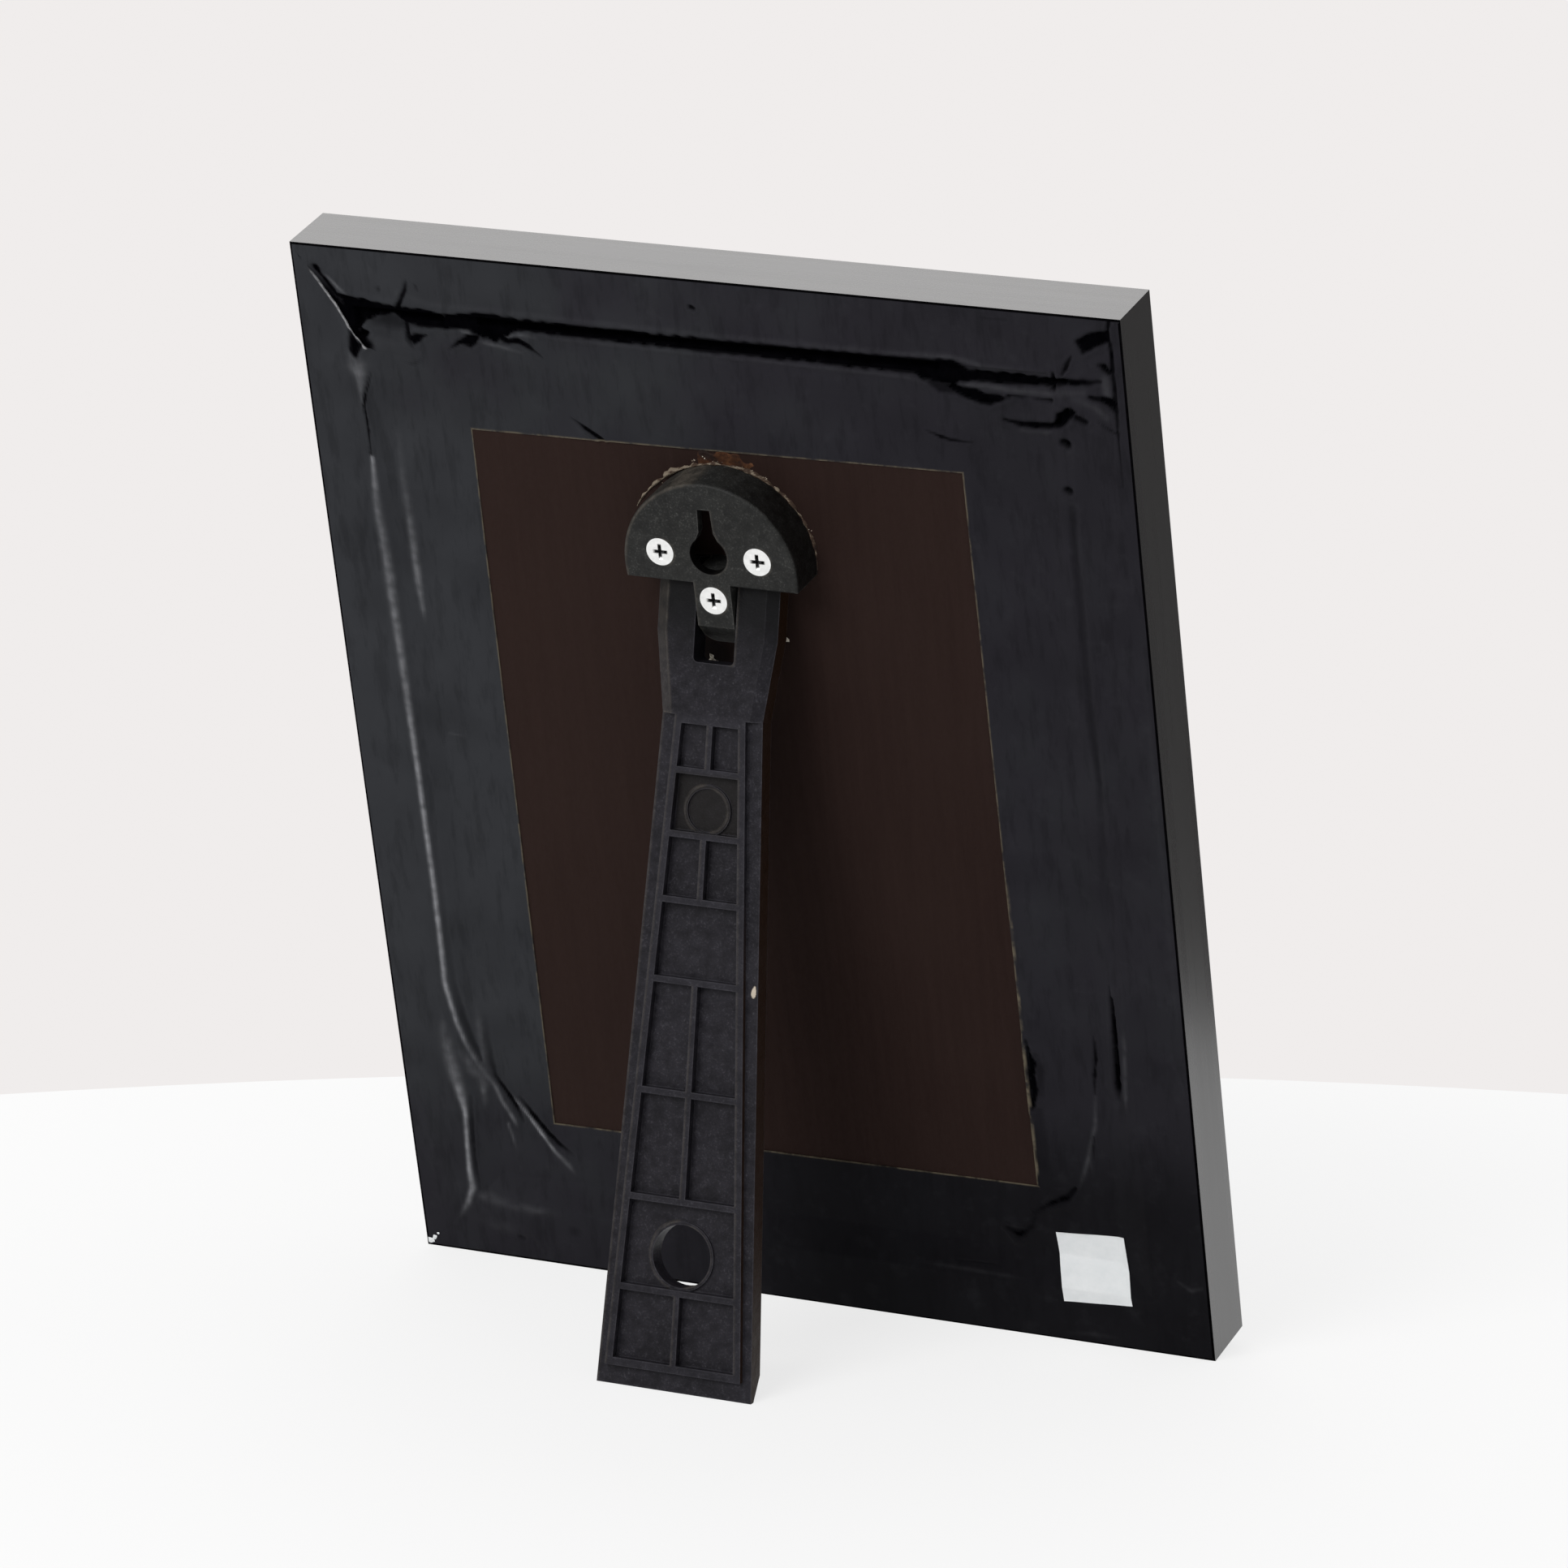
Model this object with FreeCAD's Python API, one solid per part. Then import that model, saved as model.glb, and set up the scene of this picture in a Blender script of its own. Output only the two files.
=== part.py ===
import FreeCAD, Part
import math
import os

# Easel back photo frame, standing on its bottom rail and its support leg.
# Lengths in millimetres, angles in degrees. The frame is modelled upright, with
# X across, Y out of its back and Z up from its bottom edge, and then leans back.
# Left and right are those of a person who faces the picture.

Vector = FreeCAD.Vector
X_AXIS = Vector(1, 0, 0)
Y_AXIS = Vector(0, 1, 0)
ORIGIN = Vector(0, 0, 0)

# Stance
lean_angle = 13.5
opening_angle = 21.3

# Picture package, from the glass at the front to the board at the back
insert_width = 152.4
insert_height = 203.2
insert_clearance = 1.4
glass_thickness = 2.0
paper_thickness = 0.3
filler_thickness = 3.2
board_thickness = 3.0

# Moulding of the four rails
rail_back_width = 12.4
rail_face_width = 20.0
rail_depth = 15.0
rabbet_depth = 10.0
rail_edge_radius = 0.8
sight_bevel = 1.2

# Fasteners of the mitres and of the board
corner_nail_wing = 4.2
corner_nail_thickness = 0.5
corner_nail_length = 7.0
corner_nail_first = 2.6
corner_nail_pitch = 4.8
point_width = 7.0
point_thickness = 0.4
point_bite = 5.0
point_overlap = 3.2
point_tip = 2.5
point_place_share = 0.3

# Sealing tape and bare label
tape_width = 35.2
tape_margin = 0.8
tape_thickness = 0.2
tape_landing = 7.2
label_size = 15.2
label_thickness = 0.12
label_turn = 4.0
label_from_side = 25.5
label_from_bottom = 17.4

# Half-round hinge bracket with its tongue
bracket_radius = 18.9
bracket_flat_drop = 3.0
bracket_height = 9.4
bracket_wall = 2.0
bracket_roof = 2.0
bracket_edge_radius = 0.6
bracket_rise = 56.0
boss_radius = 2.6
screw_across = 10.65
screw_rise = 3.2
tongue_half_width = 4.0
tongue_length = 14.2
tongue_end_radius = 2.4
tongue_screw_drop = 6.4
tongue_ramp_start = 9.2
tongue_ramp_fall = 3.6

# Keyhole in the bracket's roof
key_radius = 4.0
key_rise = 3.4
key_neck_half_width = 1.6
key_top_half_width = 1.35
key_neck_start = 5.0
key_length = 10.0
key_shoulder_share = 0.78

# Countersunk screws with a cross recess
screw_head_radius = 2.95
screw_head_rim = 0.3
screw_head_cone = 1.5
screw_shank_radius = 1.45
screw_length = 12.0
screw_tip = 2.0
recess_length = 3.4
recess_width = 0.8
recess_depth = 1.1

# Hinge
hinge_height = 3.2
hinge_above_edge = 1.0
trunnion_radius = 1.2
trunnion_length = 2.2
trunnion_clearance = 0.05
arm_clearance = 0.35
stop_gap = 0.1

# Support leg; places along it count down from the hinge axis
leg_thickness = 5.2
leg_border_height = 1.2
leg_cell_depth = 1.8
leg_channel_depth = 1.6
leg_channel_wall = 2.0
leg_head_half_width = 13.2
leg_head_straight = 13.5
leg_head_bevel = 2.4
leg_waist_half_width = 11.0
leg_foot_half_width = 17.2
leg_slot_half_width = 4.45
leg_slot_end = 19.0
leg_slot_corner = 1.0
panel_start = 29.8
panel_top_half_width = 7.75
panel_foot_half_width = 15.1
panel_border_width = 1.6
panel_rib_width = 1.3
cross_rib_shares = (0.083, 0.18, 0.28, 0.402, 0.573, 0.737, 0.877)
cell_kinds = ("rib", "mark", "rib", "plain", "rib", "rib", "hole", "rib")
round_place_share = 0.6
mark_radius = 5.1
hole_radius = 6.4
rim_width = 0.7
rim_height = 0.5
collar_wall = 1.6
foot_strip = 4.0
foot_sole_depth = 1.2
foot_chamfer_rise = 7.0
channel_foot_margin = 9.0

# One overrun that serves all cuts, and the closeness at which places count as equal
overrun = 1.0
closeness = 0.000001

# Derived sizes
frame_width = insert_width + 2 * (insert_clearance + rail_back_width)
frame_height = insert_height + 2 * (insert_clearance + rail_back_width)
package_thickness = glass_thickness + paper_thickness + filler_thickness + board_thickness
board_recess = rabbet_depth - package_thickness
board_level = -board_recess
tape_reach = tape_margin + tape_width
bracket_z = frame_height / 2 + bracket_rise
bracket_flat_z = bracket_z - bracket_flat_drop
bracket_face = board_level + bracket_height
roof_level = bracket_face - bracket_roof
hinge_z = bracket_flat_z + hinge_above_edge
hinge_y = board_level + hinge_height
leg_outer = leg_thickness / 2
leg_inner = -leg_outer
leg_ledge = leg_outer - leg_border_height
leg_floor = leg_outer - leg_cell_depth
leg_angle = opening_angle - lean_angle


def sine(angle):
    return math.sin(math.radians(angle))


def cosine(angle):
    return math.cos(math.radians(angle))


# The heel beyond the axis meets the board when the leg is open
leg_heel = (hinge_height - stop_gap - leg_outer * cosine(opening_angle)) / sine(opening_angle)
# The axis stands this high when the frame leans, and the sole reaches the table
axis_above_table = hinge_z * cosine(lean_angle) - hinge_y * sine(lean_angle)
leg_reach = (axis_above_table + leg_ledge * sine(leg_angle)) / cosine(leg_angle)
panel_end = leg_reach - foot_strip


def prism(points, low, high, axis=Y_AXIS):
    """Extrude a closed outline from low to high: (x, z) along Y, or (y, z) along X."""
    if axis == Y_AXIS:
        corners = [Vector(a, low, b) for a, b in points]
    else:
        corners = [Vector(low, a, b) for a, b in points]
    face = Part.Face(Part.makePolygon(corners + corners[:1]))
    return face.extrude(axis * (high - low))


def block(x_low, x_high, y_low, y_high, z_low, z_high):
    corner = Vector(x_low, y_low, z_low)
    return Part.makeBox(x_high - x_low, y_high - y_low, z_high - z_low, corner)


def post(radius, x, z, y_low, y_high):
    """Round bar along Y."""
    return Part.makeCylinder(radius, y_high - y_low, Vector(x, y_low, z), Y_AXIS)


def to_side(shape, side):
    """Carry a shape made for the bottom side, with Z inward from its edge, to any side."""
    angles = {"bottom": 0, "left": 90, "top": 180, "right": -90}
    span = frame_width if side in ("left", "right") else frame_height
    moved = shape.copy()
    moved.translate(Vector(0, 0, -span / 2))
    moved.rotate(ORIGIN, Y_AXIS, angles[side])
    moved.translate(Vector(0, 0, frame_height / 2))
    return moved


def mitred_strip(profile, side, reach):
    """Extrude a (y, z) profile along a side and cut both its ends at the mitres."""
    half = (frame_height if side in ("left", "right") else frame_width) / 2
    strip = profile.extrude(X_AXIS * (2 * half))
    strip.translate(Vector(-half, 0, 0))
    corners = [(-half, 0), (half, 0), (half - reach, reach), (-half + reach, reach)]
    room = prism(corners, -rail_depth - overrun, overrun)
    return to_side(strip.common(room), side)


def rail_profile():
    """Box moulding with rounded front edge, bevelled sight edge and a rabbet behind."""
    front = -rail_depth
    soft = rail_edge_radius
    half_soft = soft * (1 - math.sqrt(0.5))
    start = Vector(0, 0, 0)
    edge_low = Vector(0, front + soft, 0)
    edge_mid = Vector(0, front + half_soft, half_soft)
    edge_high = Vector(0, front, soft)
    corners = [
        edge_high,
        Vector(0, front, rail_face_width - sight_bevel),
        Vector(0, front + sight_bevel, rail_face_width),
        Vector(0, -rabbet_depth, rail_face_width),
        Vector(0, -rabbet_depth, rail_back_width),
        Vector(0, 0, rail_back_width),
        start,
    ]
    edges = [Part.makeLine(start, edge_low), Part.Arc(edge_low, edge_mid, edge_high).toShape()]
    edges += [Part.makeLine(a, b) for a, b in zip(corners, corners[1:])]
    return Part.Face(Part.Wire(edges))


def sheet_profile(first, last, lift, thickness):
    """Section of a thin sheet that lies on the rail, dips over its edge and lies on the board."""
    foot = rail_back_width + tape_landing
    line = [(lift, first), (lift, rail_back_width), (board_level + lift, foot), (board_level + lift, last)]
    upper = [(y + thickness, z) for y, z in reversed(line)]
    corners = [Vector(0, y, z) for y, z in line + upper]
    return Part.Face(Part.makePolygon(corners + corners[:1]))


def corner_nails():
    """Two bent nails across the mitre at the lower left corner, driven in from behind."""
    nails = []
    for count in range(2):
        near = corner_nail_first + count * corner_nail_pitch
        inner = near + corner_nail_thickness
        far = near + corner_nail_wing
        outline = [(near, near), (far, near), (far, inner), (inner, inner), (inner, far), (near, far)]
        nail = prism(outline, -corner_nail_length, 0)
        nail.translate(Vector(-frame_width / 2, 0, 0))
        nails.append(nail)
    return Part.makeCompound(nails)


def at_corner(shape, right, top):
    """Mirror a shape of the lower left corner into another corner."""
    placed = shape
    if right:
        placed = placed.mirror(ORIGIN, X_AXIS)
    if top:
        placed = placed.mirror(Vector(0, 0, frame_height / 2), Vector(0, 0, 1))
    return placed


def framer_points(side):
    """Two flat points of one side, driven into the rabbet wall over the board."""
    length = frame_height if side in ("left", "right") else frame_width
    half = point_width / 2
    root = rail_back_width - point_bite
    end = rail_back_width + insert_clearance + point_overlap
    outline = [(-half, end), (half, end), (half, root + point_tip), (0, root), (-half, root + point_tip)]
    points = []
    for way in (-1, 1):
        plate = prism(outline, board_level, board_level + point_thickness)
        plate.translate(Vector(way * point_place_share * length, 0, 0))
        points.append(plate)
    return to_side(Part.makeCompound(points), side)


def insert_sheet(y_low, thickness):
    """Sheet of the picture package, which rests in the bottom rabbet with its play above it."""
    half = insert_width / 2
    low = rail_back_width
    return block(-half, half, y_low, y_low + thickness, low, low + insert_height)


def screw(x, z):
    """Countersunk screw with a cross recess, its head flush with the bracket's face."""
    top = bracket_face
    neck = top - screw_head_rim - screw_head_cone
    tip = top - screw_length
    outline = [
        (0, top),
        (screw_head_radius, top),
        (screw_head_radius, top - screw_head_rim),
        (screw_shank_radius, neck),
        (screw_shank_radius, tip + screw_tip),
        (0, tip),
    ]
    corners = [Vector(r, y, 0) for r, y in outline]
    solid = Part.Face(Part.makePolygon(corners + corners[:1])).revolve(ORIGIN, Y_AXIS, 360)
    solid.translate(Vector(x, 0, z))
    return solid


def screw_recess(x, z):
    """Tapered cross that the screwdriver enters."""
    arms = []
    for turn in (0, 90):
        half = recess_length / 2
        wide = recess_width / 2
        floor = bracket_face - recess_depth
        outline = [(-half, bracket_face), (half, bracket_face), (wide, floor), (-wide, floor)]
        corners = [Vector(a, b, -wide) for a, b in outline]
        arm = Part.Face(Part.makePolygon(corners + corners[:1])).extrude(Vector(0, 0, recess_width))
        arm.rotate(ORIGIN, Y_AXIS, turn)
        arm.translate(Vector(x, 0, z))
        arms.append(arm)
    return arms[0].fuse(arms[1])


def half_round(radius, drop, y_low, y_high):
    """Disc standing on a flat that lies below its centre."""
    half = math.sqrt(radius ** 2 - drop ** 2)
    left = Vector(-half, y_low, bracket_z - drop)
    right = Vector(half, y_low, bracket_z - drop)
    top = Vector(0, y_low, bracket_z + radius)
    wire = Part.Wire([Part.Arc(left, top, right).toShape(), Part.makeLine(right, left)])
    return Part.Face(wire).extrude(Y_AXIS * (y_high - y_low))


def keyhole(y_low, y_high):
    """Bottle-shaped opening: a round entry, shoulders and a narrow neck."""
    z = bracket_z + key_rise
    shoulder = key_radius * key_shoulder_share
    wide = math.sqrt(key_radius ** 2 - shoulder ** 2)
    neck = key_neck_half_width
    top = key_top_half_width
    outline = [
        (-wide, z + shoulder),
        (wide, z + shoulder),
        (neck, z + key_neck_start),
        (top, z + key_length),
        (-top, z + key_length),
        (-neck, z + key_neck_start),
    ]
    return post(key_radius, 0, z, y_low, y_high).fuse(prism(outline, y_low, y_high))


def tongue():
    """Finger below the bracket that lies in the leg's slot, with a falling end."""
    top_z = bracket_flat_z + bracket_wall
    end_z = bracket_flat_z - tongue_length
    ramp_z = bracket_flat_z - tongue_ramp_start
    low = bracket_face - tongue_ramp_fall
    side_outline = [
        (board_level, top_z),
        (board_level, end_z),
        (low, end_z),
        (bracket_face, ramp_z),
        (bracket_face, top_z),
    ]
    half = tongue_half_width
    finger = prism(side_outline, -half, half, X_AXIS)
    corners = [e for e in finger.Edges if is_finger_end(e, end_z)]
    return finger.makeFillet(tongue_end_radius, corners)


def is_finger_end(edge, end_z):
    """True for the two upright edges at the tongue's free end."""
    upright = abs(abs(edge.tangentAt(edge.FirstParameter).y) - 1) < closeness
    return upright and all(abs(v.Point.z - end_z) < closeness for v in edge.Vertexes)


def is_rim(edge):
    """True for the edges around the bracket's face."""
    return all(abs(v.Point.y - bracket_face) < closeness for v in edge.Vertexes)


def hinge_bracket():
    shell = half_round(bracket_radius, bracket_flat_drop, board_level, bracket_face)
    shell = shell.makeFillet(bracket_edge_radius, [e for e in shell.Edges if is_rim(e)])
    inner_radius = bracket_radius - bracket_wall
    hollow_drop = bracket_flat_drop - bracket_wall
    hollow = half_round(inner_radius, hollow_drop, board_level - overrun, roof_level)
    body = shell.cut(hollow)
    arm_side = leg_head_half_width + arm_clearance
    cheek_top = hinge_z + leg_outer
    for way in (-1, 1):
        boss_x = way * screw_across
        boss = post(boss_radius, boss_x, bracket_z + screw_rise, board_level, roof_level)
        near, far = sorted((way * arm_side, way * bracket_radius))
        cheek = block(near, far, board_level, roof_level, bracket_flat_z, cheek_top)
        body = body.fuse([boss, cheek.common(shell)])
    body = body.fuse(tongue())
    slot_half = tongue_half_width
    for way in (-1, 1):
        near, far = sorted((way * slot_half, way * arm_side))
        reach = hinge_z + leg_outer + arm_clearance
        pocket = block(near, far, board_level - overrun, roof_level, bracket_flat_z - overrun, reach)
        body = body.cut(pocket)
        body = body.cut(socket(way, arm_side))
    body = body.cut(keyhole(roof_level - overrun, bracket_face + overrun))
    return body.removeSplitter()


def socket(way, arm_side):
    """Notch for a trunnion, open towards the board, with a round seat at the axis."""
    radius = trunnion_radius + trunnion_clearance
    depth = trunnion_length + arm_clearance
    near, far = sorted((way * (arm_side - overrun), way * (arm_side + depth)))
    seat = Part.makeCylinder(radius, far - near, Vector(near, hinge_y, hinge_z), X_AXIS)
    mouth = block(near, far, board_level - overrun, hinge_y, hinge_z - radius, hinge_z + radius)
    return seat.fuse(mouth)


def leg_half_width(place):
    """Half the leg's width at a distance below the axis, from waist to foot."""
    share = (place - panel_start) / (leg_reach - panel_start)
    return leg_waist_half_width + share * (leg_foot_half_width - leg_waist_half_width)


def panel_half_width(place):
    share = (place - panel_start) / (panel_end - panel_start)
    return panel_top_half_width + share * (panel_foot_half_width - panel_top_half_width)


def taper(start, end, inset, width_at):
    """Symmetrical four-cornered outline between two places on the leg."""
    top = width_at(start) - inset
    foot = width_at(end) - inset
    return [(-top, -start), (top, -start), (foot, -end), (-foot, -end)]


def leg_blank():
    """Tapered bar with a square heel, a rounded knuckle and a bevelled head."""
    end = leg_reach + leg_thickness
    head = leg_head_half_width
    waist = leg_waist_half_width
    foot = leg_half_width(end)
    right_side = [(head, leg_thickness), (head, -leg_head_straight), (waist, -panel_start), (foot, -end)]
    outline = right_side + [(-x, z) for x, z in reversed(right_side)]
    plate = prism(outline, leg_inner, leg_ledge)
    inner_side = [(x - leg_head_bevel, z) for x, z in right_side[:3]]
    wires = []
    for side, level in ((right_side[:3], leg_ledge), (inner_side, leg_outer)):
        ring = side + [(-x, z) for x, z in reversed(side)]
        corners = [Vector(x, level, z) for x, z in ring]
        wires.append(Part.makePolygon(corners + corners[:1]))
    crown = Part.makeLoft(wires, True, True)
    blank = plate.fuse(crown)
    knuckle = Part.makeCylinder(leg_outer, 2 * head, Vector(-head, 0, 0), X_AXIS)
    heel = block(-head, head, leg_inner, 0, 0, leg_heel)
    tail = block(-foot, foot, leg_inner - overrun, leg_outer + overrun, -end, 0)
    trimmed = knuckle.common(block(-head, head, leg_inner, leg_outer, 0, leg_heel))
    envelope = tail.fuse([trimmed, heel])
    return blank.common(envelope)


def ring(radius, z):
    """Low ring on the panel's floor."""
    level = leg_floor + rim_height
    return post(radius, 0, z, leg_floor, level).cut(post(radius - rim_width, 0, z, leg_floor, level))


def ribbed_panel(blank):
    """Sink the panel into the leg and raise its border and ribs, all tapering with it."""
    length = panel_end - panel_start
    walls = [panel_start] + [panel_start + share * length for share in cross_rib_shares] + [panel_end]
    border = prism(taper(panel_start, panel_end, 0, panel_half_width), leg_floor, leg_outer)
    first = panel_start + panel_border_width
    last = panel_end - panel_border_width
    well = prism(taper(first, last, panel_border_width, panel_half_width), leg_floor, leg_outer + overrun)
    body = blank.fuse(border).cut(well)
    half_rib = panel_rib_width / 2
    ribs = []
    for place in walls[1:-1]:
        outline = taper(place - half_rib, place + half_rib, panel_border_width / 2, panel_half_width)
        ribs.append(prism(outline, leg_floor, leg_outer))
    for kind, start, end in zip(cell_kinds, walls, walls[1:]):
        centre = -(start + round_place_share * (end - start))
        if kind == "rib":
            ribs.append(block(-half_rib, half_rib, leg_floor, leg_outer, -end, -start))
        if kind == "mark":
            ribs.append(ring(mark_radius, centre))
        if kind == "hole":
            hole_z = centre
            ribs.append(ring(hole_radius + rim_width, centre))
    return body.fuse(ribs), hole_z


def support_leg():
    """Leg in its own frame: hinge axis at the origin, foot down, outer face towards +Y."""
    body, hole_z = ribbed_panel(leg_blank())
    channel_end = leg_reach - channel_foot_margin
    channel = prism(
        taper(panel_start, channel_end, leg_channel_wall, leg_half_width),
        leg_inner - overrun,
        leg_inner + leg_channel_depth,
    )
    collar = post(hole_radius + collar_wall, 0, hole_z, leg_inner, leg_inner + leg_channel_depth)
    body = body.cut(channel).fuse(collar)
    body = body.cut(post(hole_radius, 0, hole_z, leg_inner - overrun, leg_outer + overrun))
    body = body.cut(arm_slot())
    for way in (-1, 1):
        root = leg_head_half_width - overrun
        tip = leg_head_half_width + trunnion_length
        near, far = sorted((way * root, way * tip))
        body = body.fuse(Part.makeCylinder(trunnion_radius, far - near, Vector(near, 0, 0), X_AXIS))
    return body.removeSplitter()


def arm_slot():
    """Slot between the two arms, closed below with soft corners."""
    half = leg_slot_half_width
    slot = block(-half, half, leg_inner - overrun, leg_outer + overrun, -leg_slot_end, leg_thickness)
    corners = []
    for edge in slot.Edges:
        low = all(abs(v.Point.z + leg_slot_end) < closeness for v in edge.Vertexes)
        outer = all(abs(abs(v.Point.x) - half) < closeness for v in edge.Vertexes)
        if low and outer:
            corners.append(edge)
    return slot.makeFillet(leg_slot_corner, corners)


def stand(shape):
    """Lean an upright shape back about the frame's bottom edge."""
    placed = shape.copy()
    placed.rotate(ORIGIN, X_AXIS, -lean_angle)
    return placed


def open_leg():
    """Swing the leg out to its stop, lean it with the frame and level its foot."""
    leg = support_leg()
    leg.rotate(ORIGIN, X_AXIS, opening_angle)
    leg.translate(Vector(0, hinge_y, hinge_z))
    leg = stand(leg)
    axis = stand(Part.Vertex(0, hinge_y, hinge_z)).Point
    sole_y = axis.y + leg_reach * sine(leg_angle) + leg_ledge * cosine(leg_angle)
    reach = leg_reach
    below = block(-reach, reach, -reach, reach, -reach, 0)
    under = [
        (sole_y - foot_sole_depth, 0),
        (sole_y - foot_sole_depth - leg_thickness, foot_chamfer_rise),
        (sole_y - foot_sole_depth - leg_thickness, 0),
    ]
    half = leg_foot_half_width + overrun
    return leg.cut(below).cut(prism(under, -half, half, X_AXIS))


def build():
    nodes = {}
    nails = corner_nails()
    corner_names = {(False, False): "bottom_left", (True, False): "bottom_right"}
    corner_names.update({(False, True): "top_left", (True, True): "top_right"})
    all_nails = {name: at_corner(nails, *where) for where, name in corner_names.items()}
    for side in ("bottom", "top", "left", "right"):
        rail = mitred_strip(rail_profile(), side, rail_face_width)
        points = framer_points(side)
        fasteners = [all_nails[name] for name in all_nails if side in name] + [points]
        nodes["rail_" + side] = rail.cut(fasteners)
        tape = sheet_profile(tape_margin, tape_reach, 0, tape_thickness)
        nodes["tape_" + side] = mitred_strip(tape, side, tape_reach)
        nodes["framer_points_" + side] = points
    for name, shape in all_nails.items():
        nodes["corner_nails_" + name] = shape
    level = -rabbet_depth
    layers = {"glazing": glass_thickness, "photo_insert": paper_thickness}
    layers.update({"filler_card": filler_thickness, "back_board": board_thickness})
    for name, thickness in layers.items():
        nodes[name] = insert_sheet(level, thickness)
        level = level + thickness
    nodes["blank_label"] = blank_label()
    bracket = hinge_bracket()
    upper = bracket_z + screw_rise
    places = {"bracket_screw_left": (-screw_across, upper), "bracket_screw_right": (screw_across, upper),
              "tongue_screw": (0, bracket_flat_z + bracket_flat_drop - tongue_screw_drop)}
    for name, (x, z) in places.items():
        plain = screw(x, z)
        bracket = bracket.cut(plain)
        nodes["back_board"] = nodes["back_board"].cut(plain)
        nodes[name] = plain.cut(screw_recess(x, z))
    nodes["hinge_bracket"] = bracket
    nodes = {name: stand(shape) for name, shape in nodes.items()}
    nodes["support_leg"] = open_leg()
    return nodes


def blank_label():
    """Small square of paper that follows the tapes of two sides down from their rails."""
    half = label_size / 2
    square = prism([(-half, -half), (half, -half), (half, half), (-half, half)], -rail_depth, rail_depth)
    square.rotate(ORIGIN, Y_AXIS, label_turn)
    square.translate(Vector(label_from_side - frame_width / 2, 0, label_from_bottom))
    profile = sheet_profile(tape_margin, tape_reach, tape_thickness, label_thickness)
    sheets = [mitred_strip(profile, side, tape_reach) for side in ("bottom", "left")]
    return sheets[0].fuse(sheets[1]).common(square).removeSplitter()


def main():
    nodes = build()
    box = Part.makeCompound(list(nodes.values())).optimalBoundingBox(False, False)
    middle = (box.YMin + box.YMax) / 2
    os.makedirs("parts", exist_ok=True)
    for name, shape in nodes.items():
        shape.translate(Vector(0, -middle, 0))
        shape.exportStep(os.path.join("parts", name + ".step"))
        print(name, "solids", len(shape.Solids), "valid", shape.isValid(), "volume", round(shape.Volume, 1))
    print("middle", middle, "box", box)
    axis = stand(Part.Vertex(0, hinge_y, hinge_z)).Point
    print("hinge axis at", axis.y - middle, axis.z, "leg reach", leg_reach, "heel", leg_heel)


main()
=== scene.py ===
import math
import random

import bpy
import numpy as np
from mathutils import Matrix, Vector


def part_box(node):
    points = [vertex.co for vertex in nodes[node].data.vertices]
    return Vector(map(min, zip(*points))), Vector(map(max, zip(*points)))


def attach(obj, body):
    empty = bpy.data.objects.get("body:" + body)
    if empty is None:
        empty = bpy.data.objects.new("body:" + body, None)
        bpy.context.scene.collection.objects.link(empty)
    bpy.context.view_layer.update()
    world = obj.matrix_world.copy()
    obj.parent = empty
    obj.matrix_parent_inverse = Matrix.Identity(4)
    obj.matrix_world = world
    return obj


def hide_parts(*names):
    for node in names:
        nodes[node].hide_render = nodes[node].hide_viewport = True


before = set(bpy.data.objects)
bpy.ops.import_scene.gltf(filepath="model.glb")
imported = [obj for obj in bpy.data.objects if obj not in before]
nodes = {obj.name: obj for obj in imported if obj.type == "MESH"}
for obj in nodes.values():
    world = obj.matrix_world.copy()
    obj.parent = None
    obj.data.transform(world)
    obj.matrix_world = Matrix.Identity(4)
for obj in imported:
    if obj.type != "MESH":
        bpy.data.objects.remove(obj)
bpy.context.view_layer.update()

# Lengths are in millimetres, and mesh points and the shaders' places in metres.
# Upright places are x across, y out of the frame's back and z up from its bottom
# edge. The back's own map has u = -x and v up from the middle of the frame.
MM = 0.001
CM = 0.01
DM = 0.1
WIDTH = 180.0
HEIGHT = 230.8
HALF_W = WIDTH / 2
HALF_H = HEIGHT / 2
LEAN = math.radians(13.5)
RAIL_BACK = 12.4
LANDING = 7.2
BOARD_LEVEL = -1.5
TAPE_REACH = 36.0
TAPE_MARGIN = 0.5
TAPE_LIFT = 0.2
POINT_PLACE = 0.3 * WIDTH
POINT_HALF = 3.5
POINT_REACH = RAIL_BACK + 4.6
POINT_LEVEL = BOARD_LEVEL + 0.4
BRACKET_Z = HALF_H + 56.0
BRACKET_RADIUS = 18.9
HINGE_Y = 1.7
HINGE_Z = BRACKET_Z - 2.0
OPENING = math.radians(21.3)
KEYHOLE_RISE = 3.4
# Painted shade on the board's floor in the slot of the leg's head, from the frame's middle
SLOT_ASIDE = 6.3
SLOT_RISE = 32.0

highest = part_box("rail_bottom")[1]
OUT = Vector((0, math.cos(LEAN), -math.sin(LEAN)))
FOOT_Y = RAIL_BACK * MM * math.sin(LEAN) - highest[1]


def to_row(points):
    """Upright millimetres to the row frame in metres."""
    p = np.asarray(points, float).reshape(-1, 3) * MM
    y = p[:, 1] * math.cos(LEAN) + p[:, 2] * math.sin(LEAN) - FOOT_Y
    z = p[:, 2] * math.cos(LEAN) - p[:, 1] * math.sin(LEAN)
    return np.column_stack([p[:, 0], y, z])


def row_place(x, y, z):
    return tuple(to_row([(x, y, z)])[0])


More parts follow.
